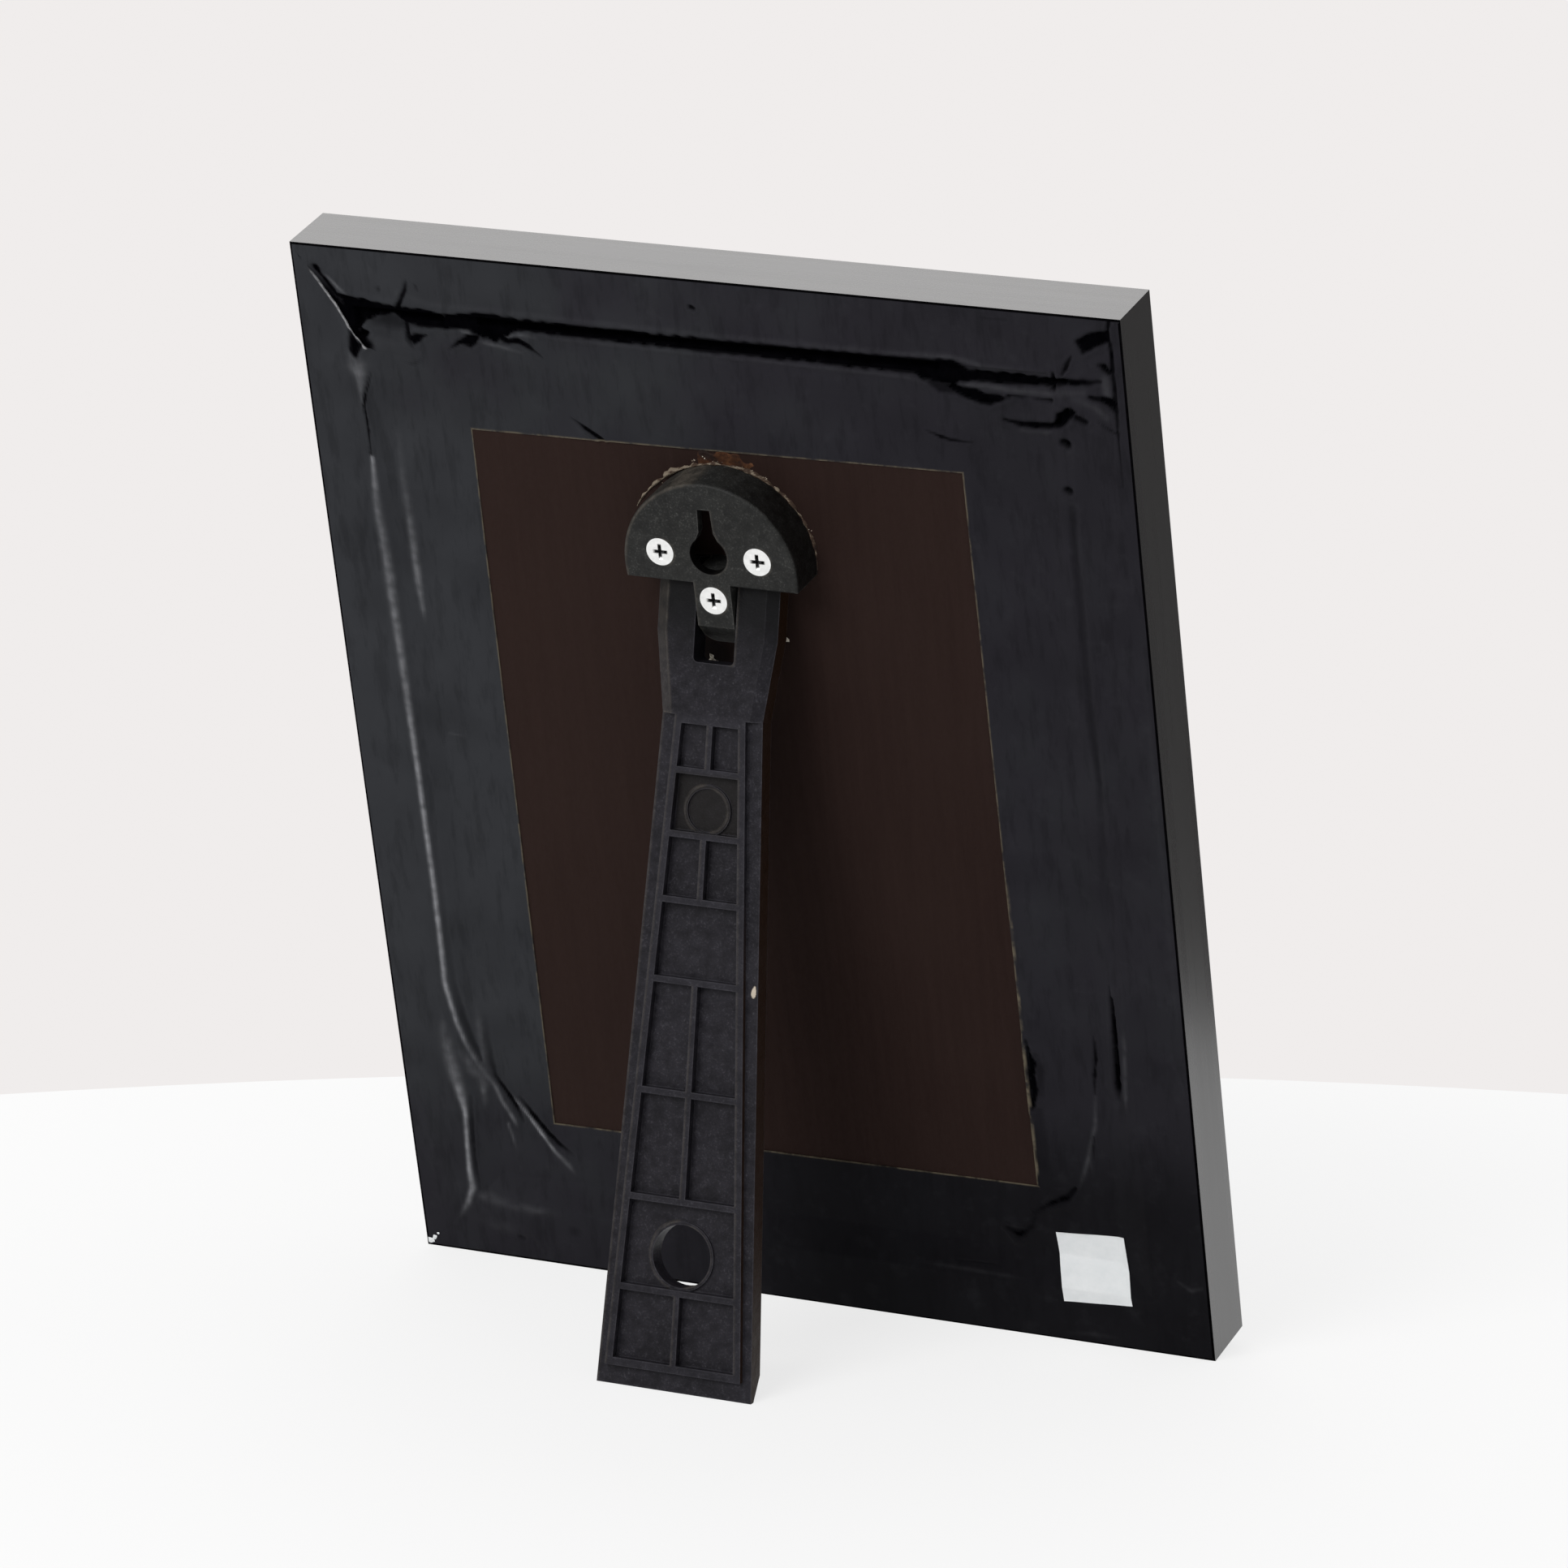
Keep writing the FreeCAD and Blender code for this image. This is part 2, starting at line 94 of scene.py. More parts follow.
HINGE = row_place(0, HINGE_Y, HINGE_Z)
LEG_DOWN = (0, math.sin(OPENING - LEAN), -math.cos(OPENING - LEAN))
LEG_OUT = (0, math.cos(OPENING - LEAN), math.sin(OPENING - LEAN))
SCREW_TOP = max(v.co.dot(OUT) for v in nodes["tongue_screw"].data.vertices)
BRACKET_TOP = max(v.co.dot(OUT) for v in nodes["hinge_bracket"].data.vertices)
KEYHOLE = tuple(Matrix.Rotation(LEAN, 3, "X") @ Vector(row_place(0, 0, BRACKET_Z + KEYHOLE_RISE)))
SLOT_SHADE = row_place(SLOT_ASIDE, BOARD_LEVEL, HALF_H + SLOT_RISE)
# A nick in the leg's edge, on the right as seen from behind
NICK = (-0.0125, 0.0283, 0.0817)


class Tree:
    """A node tree with short ways to add to it."""

    def __init__(self, tree):
        self.tree = tree

    def node(self, kind, **settings):
        n = self.tree.nodes.new(kind)
        for key, value in settings.items():
            setattr(n, key, value)
        return n

    def link(self, out, inp):
        self.tree.links.new(out, inp)

    def feed(self, target, value):
        if hasattr(value, "is_output"):
            self.link(value, target)
        else:
            target.default_value = value

    def fill(self, n, **values):
        """Feed a node's inputs by name, with _ for each space."""
        for key, value in values.items():
            self.feed(n.inputs[key.replace("_", " ")], value)
        return n

    def math(self, operation, a, b=0.0, clamp=False):
        n = self.node("ShaderNodeMath", operation=operation, use_clamp=clamp)
        self.feed(n.inputs[0], a)
        self.feed(n.inputs[1], b)
        return n.outputs[0]

    def times(self, a, b):
        return self.math("MULTIPLY", a, b)

    def vector(self, operation, a, b=(0, 0, 0)):
        n = self.node("ShaderNodeVectorMath", operation=operation)
        self.feed(n.inputs[0], a)
        self.feed(n.inputs[1], b)
        return n.outputs["Value" if operation in ("DOT_PRODUCT", "LENGTH") else "Vector"]

    def seen(self):
        """One for direct, mirrored and refracted sight, zero for other rays."""
        light = self.node("ShaderNodeLightPath").outputs
        seen = self.math("MAXIMUM", light["Is Camera Ray"], light["Is Glossy Ray"])
        return self.math("MAXIMUM", seen, light["Is Transmission Ray"])

    def blend(self, share, first, second, output):
        """Mix two shaders by a share into the tree's output."""
        n = self.node("ShaderNodeMixShader")
        for socket, out in zip(n.inputs, (share, first, second)):
            self.link(out, socket)
        self.link(n.outputs[0], self.tree.nodes[output].inputs["Surface"])


class Shader(Tree):
    """A material's node tree, with its coordinates, patterns and surface."""

    def __init__(self, name):
        self.mat = bpy.data.materials.new(name)
        self.mat.use_nodes = True
        super().__init__(self.mat.node_tree)
        self.bsdf = self.tree.nodes["Principled BSDF"]

    def surface(self, colour, rough, **values):
        """Colour and roughness of the shader, and uniform numbers on its own sockets."""
        self.fill(self.bsdf, Base_Color=colour, Roughness=rough, **values)

    def place(self, scale=(1, 1, 1), upright=False):
        """Object coordinates, leaned upright if asked, then scaled."""
        out = self.node("ShaderNodeTexCoord").outputs["Object"]
        if upright:
            turn = self.node("ShaderNodeVectorRotate", rotation_type="X_AXIS")
            out = self.fill(turn, Vector=out, Angle=LEAN).outputs["Vector"]
        return self.vector("MULTIPLY", out, scale)

    def flat(self):
        """The face's own normal."""
        return self.node("ShaderNodeNewGeometry").outputs["True Normal"]

    def bevelled(self, radius):
        """The normal with edges rounded to this radius."""
        return self.fill(self.node("ShaderNodeBevel", samples=4), Radius=radius).outputs["Normal"]

    def noise(self, where, scale, detail=3.0, rough=0.55):
        n = self.node("ShaderNodeTexNoise")
        return self.fill(n, Vector=where, Scale=scale, Detail=detail, Roughness=rough).outputs["Fac"]

    def ramp(self, value, *stops):
        """Colour or grey ramp; each stop is (place, grey) or (place, (r, g, b))."""
        n = self.node("ShaderNodeValToRGB")
        band = n.color_ramp
        while len(band.elements) < len(stops):
            band.elements.new(0.5)
        for element, (at, colour) in zip(band.elements, stops):
            element.position = at
            grey = not isinstance(colour, tuple)
            element.color = (colour, colour, colour, 1.0) if grey else (*colour, 1.0)
        self.link(value, n.inputs["Fac"])
        return n.outputs["Color"]

    def spread(self, noise, low, high):
        """Colour or grey ramp over the usual reach of a noise."""
        return self.ramp(noise, (0.3, low), (0.7, high))

    def mix(self, factor, a, b):
        n = self.node("ShaderNodeMix", data_type="RGBA")
        self.feed(n.inputs["Factor"], factor)
        for socket, value in ((n.inputs[6], a), (n.inputs[7], b)):
            self.feed(socket, (*value, 1.0) if isinstance(value, tuple) else value)
        return n.outputs[2]

    def along(self, way, unit, start=(0, 0, 0)):
        """Reach along a direction from a point, in object coordinates, as a share of the unit."""
        off = self.vector("SUBTRACT", self.place([1 / unit] * 3), [c / unit for c in start])
        return self.vector("DOT_PRODUCT", off, way)

    def apart(self, centre, reach, upright=False):
        """Distance from a point, as a share of the reach on each axis."""
        where = self.place([1 / r for r in reach], upright)
        return self.vector("LENGTH", self.vector("SUBTRACT", where, [c / r for c, r in zip(centre, reach)]))

    def attribute(self, name):
        return self.node("ShaderNodeAttribute", attribute_name=name).outputs["Fac"]

    def bump(self, height, strength, distance):
        n = self.fill(self.node("ShaderNodeBump"), Strength=strength, Distance=distance, Height=height)
        self.link(n.outputs["Normal"], self.bsdf.inputs["Normal"])


def lacquer(name, along):
    """Satin black lacquer with fine streaks along the moulding."""
    s = Shader(name)
    stretch = {"x": (0.012, 1, 1), "z": (1, 1, 0.012)}[along]
    where = s.place(stretch, upright=True)
    fine = s.noise(where, 900, 4, 0.7)
    broad = s.noise(where, 160, 2, 0.5)
    cloud = s.noise(s.place(upright=True), 28, 3, 0.6)
    streak = s.times(s.math("ADD", fine, broad), 0.5)
    colour = s.ramp(streak, (0.30, (0.008, 0.0077, 0.0077)), (0.72, (0.020, 0.0195, 0.0195)))
    s.surface(colour, s.math("ADD", s.spread(streak, 0.20, 0.30), s.times(cloud, 0.05)), IOR=1.9)
    s.bump(streak, 0.16, 0.00008)
    return s.mat


def sealing_tape():
    """Black paper tape with pale cut edges, and painted light and shade: a sheen lighter to the upper left,
    highlights along raised folds and near black in the hollows.
    """
    s = Shader("sealing_tape_black")
    where = s.place(upright=True)
    hollow_shade = s.ramp(s.attribute("hollow_shade"), (0.04, 0.0), (0.36, 0.42), (0.74, 1.0))
    cloud = s.noise(where, 70, 4, 0.6)
    grain = s.noise(where, 2600, 3, 0.6)
    # Painted sheen: lighter to the upper left, near black to the lower right
    painted_sheen = s.attribute("painted_sheen")
    patches = s.math("ADD", painted_sheen, s.times(s.noise(where, 60, 4, 0.6), 0.5))
    tint = s.ramp(patches, (0.65, (0.0342, 0.0322, 0.0408)), (1.0, (0.0331, 0.0348, 0.0392)))
    tone = s.mix(painted_sheen, (0.0036, 0.0034, 0.0044), tint)
    tone = s.mix(s.ramp(cloud, (0.35, 0.0), (0.75, 0.22)), tone, (0.0170, 0.0175, 0.0205))
    # Painted highlight along the raised folds
    fold_highlight = s.times(s.attribute("pale"), s.spread(s.noise(where, 1500, 2), 0.85, 1.0))
    tone = s.mix(fold_highlight, tone, (0.225, 0.228, 0.243))
    # Painted shade, near black, in the valleys and hollows
    tone = s.mix(hollow_shade, tone, (0.0012, 0.0011, 0.0018))
    broken = s.ramp(s.noise(where, 260, 3, 0.65), (0.38, 0.12), (0.56, 1.0))
    edge = s.times(s.attribute("cut_edge"), broken)
    tone = s.mix(edge, tone, (0.120, 0.102, 0.072))
    beads = s.ramp(s.noise(where, 1100, 2), (0.35, 0.45), (0.6, 1.0))
    tone = s.mix(s.times(s.attribute("torn_edge"), beads), tone, (0.33, 0.33, 0.34))
    streak = s.noise(s.place((1, 1, 0.22), upright=True), 420, 3, 0.65)
    tone = s.mix(s.ramp(streak, (0.34, 0.22), (0.50, 0.0)), tone, (0.0008, 0.0008, 0.0012))
    blotch = s.noise(where, 230, 3, 0.6)
    tone = s.mix(s.ramp(blotch, (0.56, 0.0), (0.78, 0.09)), tone, (0.055, 0.057, 0.064))
    rough = s.math("ADD", s.spread(cloud, 0.40, 0.52), s.times(hollow_shade, 0.3), True)
    s.surface(tone, rough, Specular_IOR_Level=0.035)
    s.bump(grain, 0.10, 0.00005)
    return s.mat


def clouded(name, colours, roughs, noise, upright=True, bump=None, **settings):
    """Material whose colour, roughness and relief all follow one noise."""
    s = Shader(name)
    cloud = s.noise(s.place(upright=upright), *noise)
    s.surface(s.ramp(cloud, *colours), s.ramp(cloud, *roughs), **settings)
    if bump:
        s.bump(cloud, *bump)
    return s.mat


def dull_black(name, low, high):
    """Unlit black: painted shade in the tape's deepest folds, and the raw black edge of a rail's back."""
    return clouded(name, ((0.3, low), (0.7, high)), ((0.3, 0.85), (0.7, 1.0)), (400, 3, 0.6),
                   bump=(0.1, 0.00005), Specular_IOR_Level=0.0)


def paper(name, low, high, scale=500.0):
    """Matt paper or card with a fine fibre."""
    return clouded(name, ((0.3, low), (0.7, high)), ((0.3, 0.75), (0.7, 0.9)), (scale, 5, 0.7),
                   bump=(0.12, 0.00006), Specular_IOR_Level=0.3)


def soiled_and_shaded_leg(s, tone):
    """Paler tops of the panel's ribs, dull brown patches, painted shade and a nick in the edge.

    Dull brown lies in the marked cell and on the right flank, and painted shade, black,
    where the leg runs in under the bracket.
    """
    down = s.along(LEG_DOWN, DM, HINGE)
    aside = s.math("ABSOLUTE", s.along((1, 0, 0), CM))
    height = s.along(LEG_OUT, CM, HINGE)
    panel = s.ramp(down, (0.29, 0.0), (0.31, 1.0), (0.60, 1.0), (1.0, 0.4))
    ribs = s.times(s.ramp(height, (0.12, 0.0), (0.24, 0.24)), panel)
    tone = s.mix(ribs, tone, (0.038, 0.037, 0.046))
    cell = s.ramp(down, (0.408, 0.0), (0.416, 1.0), (0.528, 1.0), (0.536, 0.0))
    cell = s.times(cell, s.ramp(aside, (0.68, 0.75), (0.74, 0.0)))
    tone = s.mix(cell, tone, (0.0078, 0.0066, 0.0058))
    # Painted shade, black, where the leg runs in under the bracket
    shade = s.ramp(down, (0.06, 0.97), (0.10, 0.86), (0.15, 0.50), (0.22, 0.0))
    tone = s.mix(shade, tone, (0.0008, 0.0008, 0.0013))
    flank = s.ramp(s.vector("DOT_PRODUCT", s.flat(), (-1, 0, 0)), (0.6, 0.0), (0.9, 1.0))
    brown = s.times(flank, s.ramp(s.along((-1, 0, 0), 2 * CM), (0.48, 0.0), (0.54, 0.8)))
    tone = s.mix(brown, tone, (0.0210, 0.0098, 0.0045))
    ragged = s.times(s.noise(s.place(), 900, 3, 0.6), 0.7)
    nick = s.math("ADD", s.apart(NICK, (0.0010, 0.003, 0.0024)), ragged)
    return s.mix(s.ramp(nick, (0.80, 1.0), (0.96, 0.0)), tone, (0.55, 0.48, 0.39))


def shaded_bracket_wall(s, tone):
    """Painted shade, dark brown, on the bracket's wall that turns away from the light."""
    below = s.math("SUBTRACT", BRACKET_TOP / CM, s.along(tuple(OUT), CM))
    aside = s.ramp(s.along((-1, 0, 0), 2 * CM), (0.10, 0.0), (0.60, 0.72))
    wall = s.times(s.ramp(below, (0.03, 0.0), (0.10, 1.0)), aside)
    return s.mix(wall, tone, (0.0030, 0.0020, 0.0018))


def keyhole_painted_shade(s, tone):
    """Painted shade: black over all of the keyhole's wall, its edges too."""
    away = s.apart(KEYHOLE, (0.010, 0.500, 0.010), True)
    return s.mix(s.ramp(away, (0.405, 0.96), (0.42, 0.0)), tone, (0.0006, 0.0005, 0.0006))


def moulded_plastic(name, dark, light, worn, rough, speck_scale, dirt_and_shade, shaded=None):
    """Grained moulded plastic with a leathery mottle, paler rubbed edges and a painted highlight on edges
    that turn to +x.

    The first toning function adds dirt and painted shade before the edges are rubbed; shaded, if given, adds
    painted shade after.
    """
    s = Shader(name)
    where = s.place()
    grain = s.noise(where, speck_scale, 4, 0.7)
    mottle = s.noise(where, 430, 4, 0.65)
    cloud = s.noise(where, 60, 3, 0.5)
    both = s.math("ADD", s.times(mottle, 0.65), s.times(cloud, 0.35))
    tone = s.ramp(both, (0.38, dark), (0.64, light))
    fleck = s.times(s.ramp(grain, (0.53, 0.0), (0.68, 0.75)), s.ramp(mottle, (0.4, 0.2), (0.6, 1.0)))
    tone = dirt_and_shade(s, s.mix(fleck, tone, worn))
    turn = s.vector("DOT_PRODUCT", s.bevelled(0.0004), s.flat())
    rubbed = s.ramp(turn, (0.90, 0.75), (0.985, 0.0))
    tone = s.mix(s.times(rubbed, s.ramp(mottle, (0.3, 0.45), (0.6, 1.0))), tone, worn)
    # Painted highlight on edges that turn to +x, the key lamp's side
    turn = s.vector("DOT_PRODUCT", s.bevelled(0.0008), (1, 0, 0))
    edge_highlight = s.ramp(turn, (0.05, 0.0), (0.18, 0.85), (0.38, 0.85), (0.45, 0.24))
    edge_highlight = s.times(edge_highlight, s.ramp(mottle, (0.35, 0.35), (0.6, 1.0)))
    tone = s.mix(edge_highlight, tone, (0.078, 0.068, 0.056))
    if shaded:
        tone = shaded(s, tone)
    s.surface(tone, s.spread(mottle, rough - 0.08, rough + 0.08), Specular_IOR_Level=0.12)
    s.bump(s.math("ADD", s.times(grain, 0.5), mottle), 0.55, 0.00022)
    return s.mat


def hardboard():
    """Dark pressed board with faint upright fibre streaks."""
    s = Shader("hardboard_brown")
    streak = s.noise(s.place((1, 1, 0.06), upright=True), 520, 4, 0.65)
    fibre = s.noise(s.place((1, 1, 0.35), upright=True), 1500, 3, 0.7)
    cloud = s.noise(s.place(upright=True), 22, 3, 0.5)
    tone = s.spread(streak, (0.0172, 0.0093, 0.0078), (0.0212, 0.0118, 0.0099))
    tone = s.mix(s.ramp(cloud, (0.35, 0.0), (0.7, 0.4)), tone, (0.0262, 0.0155, 0.0130))
    # Painted light: the board is lighter towards +x, the key lamp's side
    tone = s.mix(s.ramp(s.along((1, 0, 0), DM), (0.0, 0.0), (0.55, 0.35)), tone, (0.0300, 0.0180, 0.0150))
    # Painted shade on the board in the leg's slot
    slot = s.ramp(s.apart(SLOT_SHADE, (0.006, 0.006, 0.006)), (0.5, 0.8), (1.0, 0.0))
    tone = s.mix(slot, tone, (0.003, 0.002, 0.002))
    s.surface(tone, s.spread(fibre, 0.62, 0.8), Specular_IOR_Level=0.05)
    s.bump(fibre, 0.22, 0.00012)
    return s.mat


def zinc():
    """Bright zinc plate, faintly clouded, with painted shade, black, below the heads' faces."""
    s = Shader("zinc_plate")
    where = s.place()
    cloud = s.noise(where, 900, 3, 0.6)
    plate = s.spread(cloud, (0.80, 0.80, 0.79), (0.93, 0.93, 0.92))
    # Painted shade in the cross recesses and on the heads' sides
    below = s.math("SUBTRACT", SCREW_TOP / MM, s.along(tuple(OUT), MM))
    tone = s.mix(s.ramp(below, (0.06, 0.0), (0.40, 1.0)), plate, (0.004, 0.004, 0.005))
    s.surface(tone, s.spread(cloud, 0.30, 0.42), Metallic=0.55, Specular_IOR_Level=0.6)
    s.bump(s.noise(where, 3000, 2), 0.08, 0.00004)
    return s.mat


def fibre_bead():
    """Glue and fibre, brown where it is thin and pale tan where it is thick."""
    s = Shader("fibre_bead")
    where = s.place()
    bright = s.math("ADD", s.attribute("bright"), s.times(s.noise(where, 1500, 3, 0.6), 0.4))
    glue = ((0.40, (0.020, 0.011, 0.009)), (0.80, (0.055, 0.034, 0.022)), (1.0, (0.19, 0.155, 0.115)))
    s.surface(s.ramp(bright, *glue), s.ramp(bright, (0.3, 0.8), (1.0, 0.6)), Specular_IOR_Level=0.2)
    s.bump(s.noise(where, 2600, 2), 0.3, 0.0001)
    return s.mat


MATERIALS = {
    "moulding_x": lacquer("lacquer_across", "x"),
    "moulding_z": lacquer("lacquer_upright", "z"),
    "tape": sealing_tape(),
    # Flat black for painted shade in the tape's deepest folds
    "tape_painted_shade": dull_black("tape_fold_painted_shade", (0.0005, 0.0005, 0.0008), (0.0016, 0.0015, 0.0022)),
    "raw_edge": dull_black("rail_back_black", (0.0008, 0.0008, 0.0012), (0.0030, 0.0028, 0.0032)),
    "bracket": moulded_plastic(
        "bracket_plastic_grained", (0.0110, 0.0112, 0.0108), (0.0235, 0.0238, 0.0228), (0.080, 0.080, 0.076),
        0.5, 2400, shaded_bracket_wall, keyhole_painted_shade),
    "leg": moulded_plastic(
        "leg_plastic_grained", (0.0078, 0.0072, 0.0096), (0.0195, 0.0182, 0.0232), (0.055, 0.053, 0.062),
        0.46, 2100, soiled_and_shaded_leg),
    "board": hardboard(),
    "zinc": zinc(),
    "steel": clouded(
        "bare_steel", ((0.3, (0.34, 0.33, 0.32)), (0.7, (0.52, 0.51, 0.50))), ((0.3, 0.32), (0.7, 0.5)),
        (700, 4, 0.65), False, Metallic=1.0),
    "glass": clouded(
        "float_glass", ((0.3, (0.93, 0.97, 0.95)), (0.7, (0.97, 0.99, 0.98))), ((0.3, 0.0), (0.8, 0.03)),
        (14, 3, 0.5), Transmission_Weight=1.0, IOR=1.5),
    "insert": paper("insert_paper_plain", (0.70, 0.69, 0.66), (0.80, 0.79, 0.76)),
    "greyboard": paper("greyboard_plain", (0.22, 0.20, 0.17), (0.34, 0.31, 0.27), 300.0),
    "label": paper("label_paper_plain", (0.80, 0.83, 0.84), (0.88, 0.90, 0.91), 260.0),
    # Rubbed hardboard that shows its lighter, rusty core
    "torn": clouded(
        "torn_fibre",
        ((0.34, (0.013, 0.0065, 0.0048)), (0.50, (0.047, 0.018, 0.0078)), (0.68, (0.110, 0.048, 0.022))),
        ((0.3, 0.7), (0.7, 0.9)), (330, 3, 0.65), bump=(0.6, 0.0003), Specular_IOR_Level=0.15),
    # Dried glue, from brown to nearly white
    "speck": clouded(
        "glue_speck",
        ((0.36, (0.07, 0.045, 0.028)), (0.52, (0.22, 0.175, 0.13)), (0.68, (0.60, 0.56, 0.49))),
        ((0.3, 0.45), (0.7, 0.7)), (800, 3, 0.6), False),
    "chip": paper("paper_chip", (0.42, 0.37, 0.28), (0.80, 0.77, 0.70), 900.0),
    "bead": fibre_bead(),
}


def dress(name, key, bevel=0.0):
    """Give a carried-over CAD node its material and, if asked, softened edges."""
    obj = nodes[name]
    obj.data.materials.clear()
    obj.data.materials.append(MATERIALS[key])
    if bevel:
        soft = obj.modifiers.new("soft_edges", "BEVEL")
        soft.width = bevel * MM
        soft.segments = 2
        soft.limit_method = "ANGLE"
        soft.angle_limit = math.radians(38)
        soft.harden_normals = False


def dull_back(name):
    """Give a rail's rear faces the raw black edge that shows beside the tape."""
    obj = nodes[name]
    obj.data.materials.append(MATERIALS["raw_edge"])
    for face in obj.data.polygons:
        if face.normal.dot(OUT) > 0.9:
            face.material_index = 1


for side in ("top", "bottom", "left", "right"):
    dress("rail_" + side, "moulding_x" if side in ("top", "bottom") else "moulding_z")
    dull_back("rail_" + side)
for name in nodes:
    if name.startswith(("corner_nails", "framer_points")):
        dress(name, "steel")
for name in ("bracket_screw_left", "bracket_screw_right", "tongue_screw"):
    dress(name, "zinc", 0.2)
dress("glazing", "glass")
dress("photo_insert", "insert")
dress("filler_card", "greyboard")
dress("back_board", "board")
dress("hinge_bracket", "bracket", 0.14)
dress("support_leg", "leg", 0.14)


# Places on the tape are read in the plane of the back, as a viewer above its left
# end sees them, so what lies deeper is looked up farther along the line of sight.
SIGHT = (0.54, 0.58)
# The window that the tape leaves, as distances of its corners from the frame's edges
WINDOW = {"top_left": (35.2, 38.3), "top_right": (37.2, 36.7),
          "bottom_right": (36.7, 34.7), "bottom_left": (33.6, 33.4)}
# The torn end of the left strip at the upper left mitre, from the corner inwards,
# and where the strips' ends reach its points, as shares of the tape's width
CUT = [(4.5, 5.9), (9.0, 12.4), (14.2, 21.4)]
CUT_END = (24.4, 27.6)
CUT_SHARES = {"left": [0.0, 0.11, 0.24, 0.39, 0.66, 1.0], "top": [0.0, 0.14, 0.33, 0.59, 0.74, 1.0]}
# The gap between top rail and board that the tape sags into, and the margin that
# it keeps from the edges of what lies below
TOP_GAP = 2.8
GAP_FLOOR = -3.2
SPARE = 0.45
# What the tape's skin clears the pieces below it by
CLEAR = 0.07
# The creases' heights and depths, how ragged their edges are, and how far they reach
FOLD_RISE = 0.42
VALLEY_DEPTH = 0.9
HOLLOW_DEPTH = 1.9
RAGGED = 0.14
CREASE_REACH = 4.0
# Width of the pale cut edge at the window, and of its soft side
PARED = 0.20
PARED_SOFT = 0.18
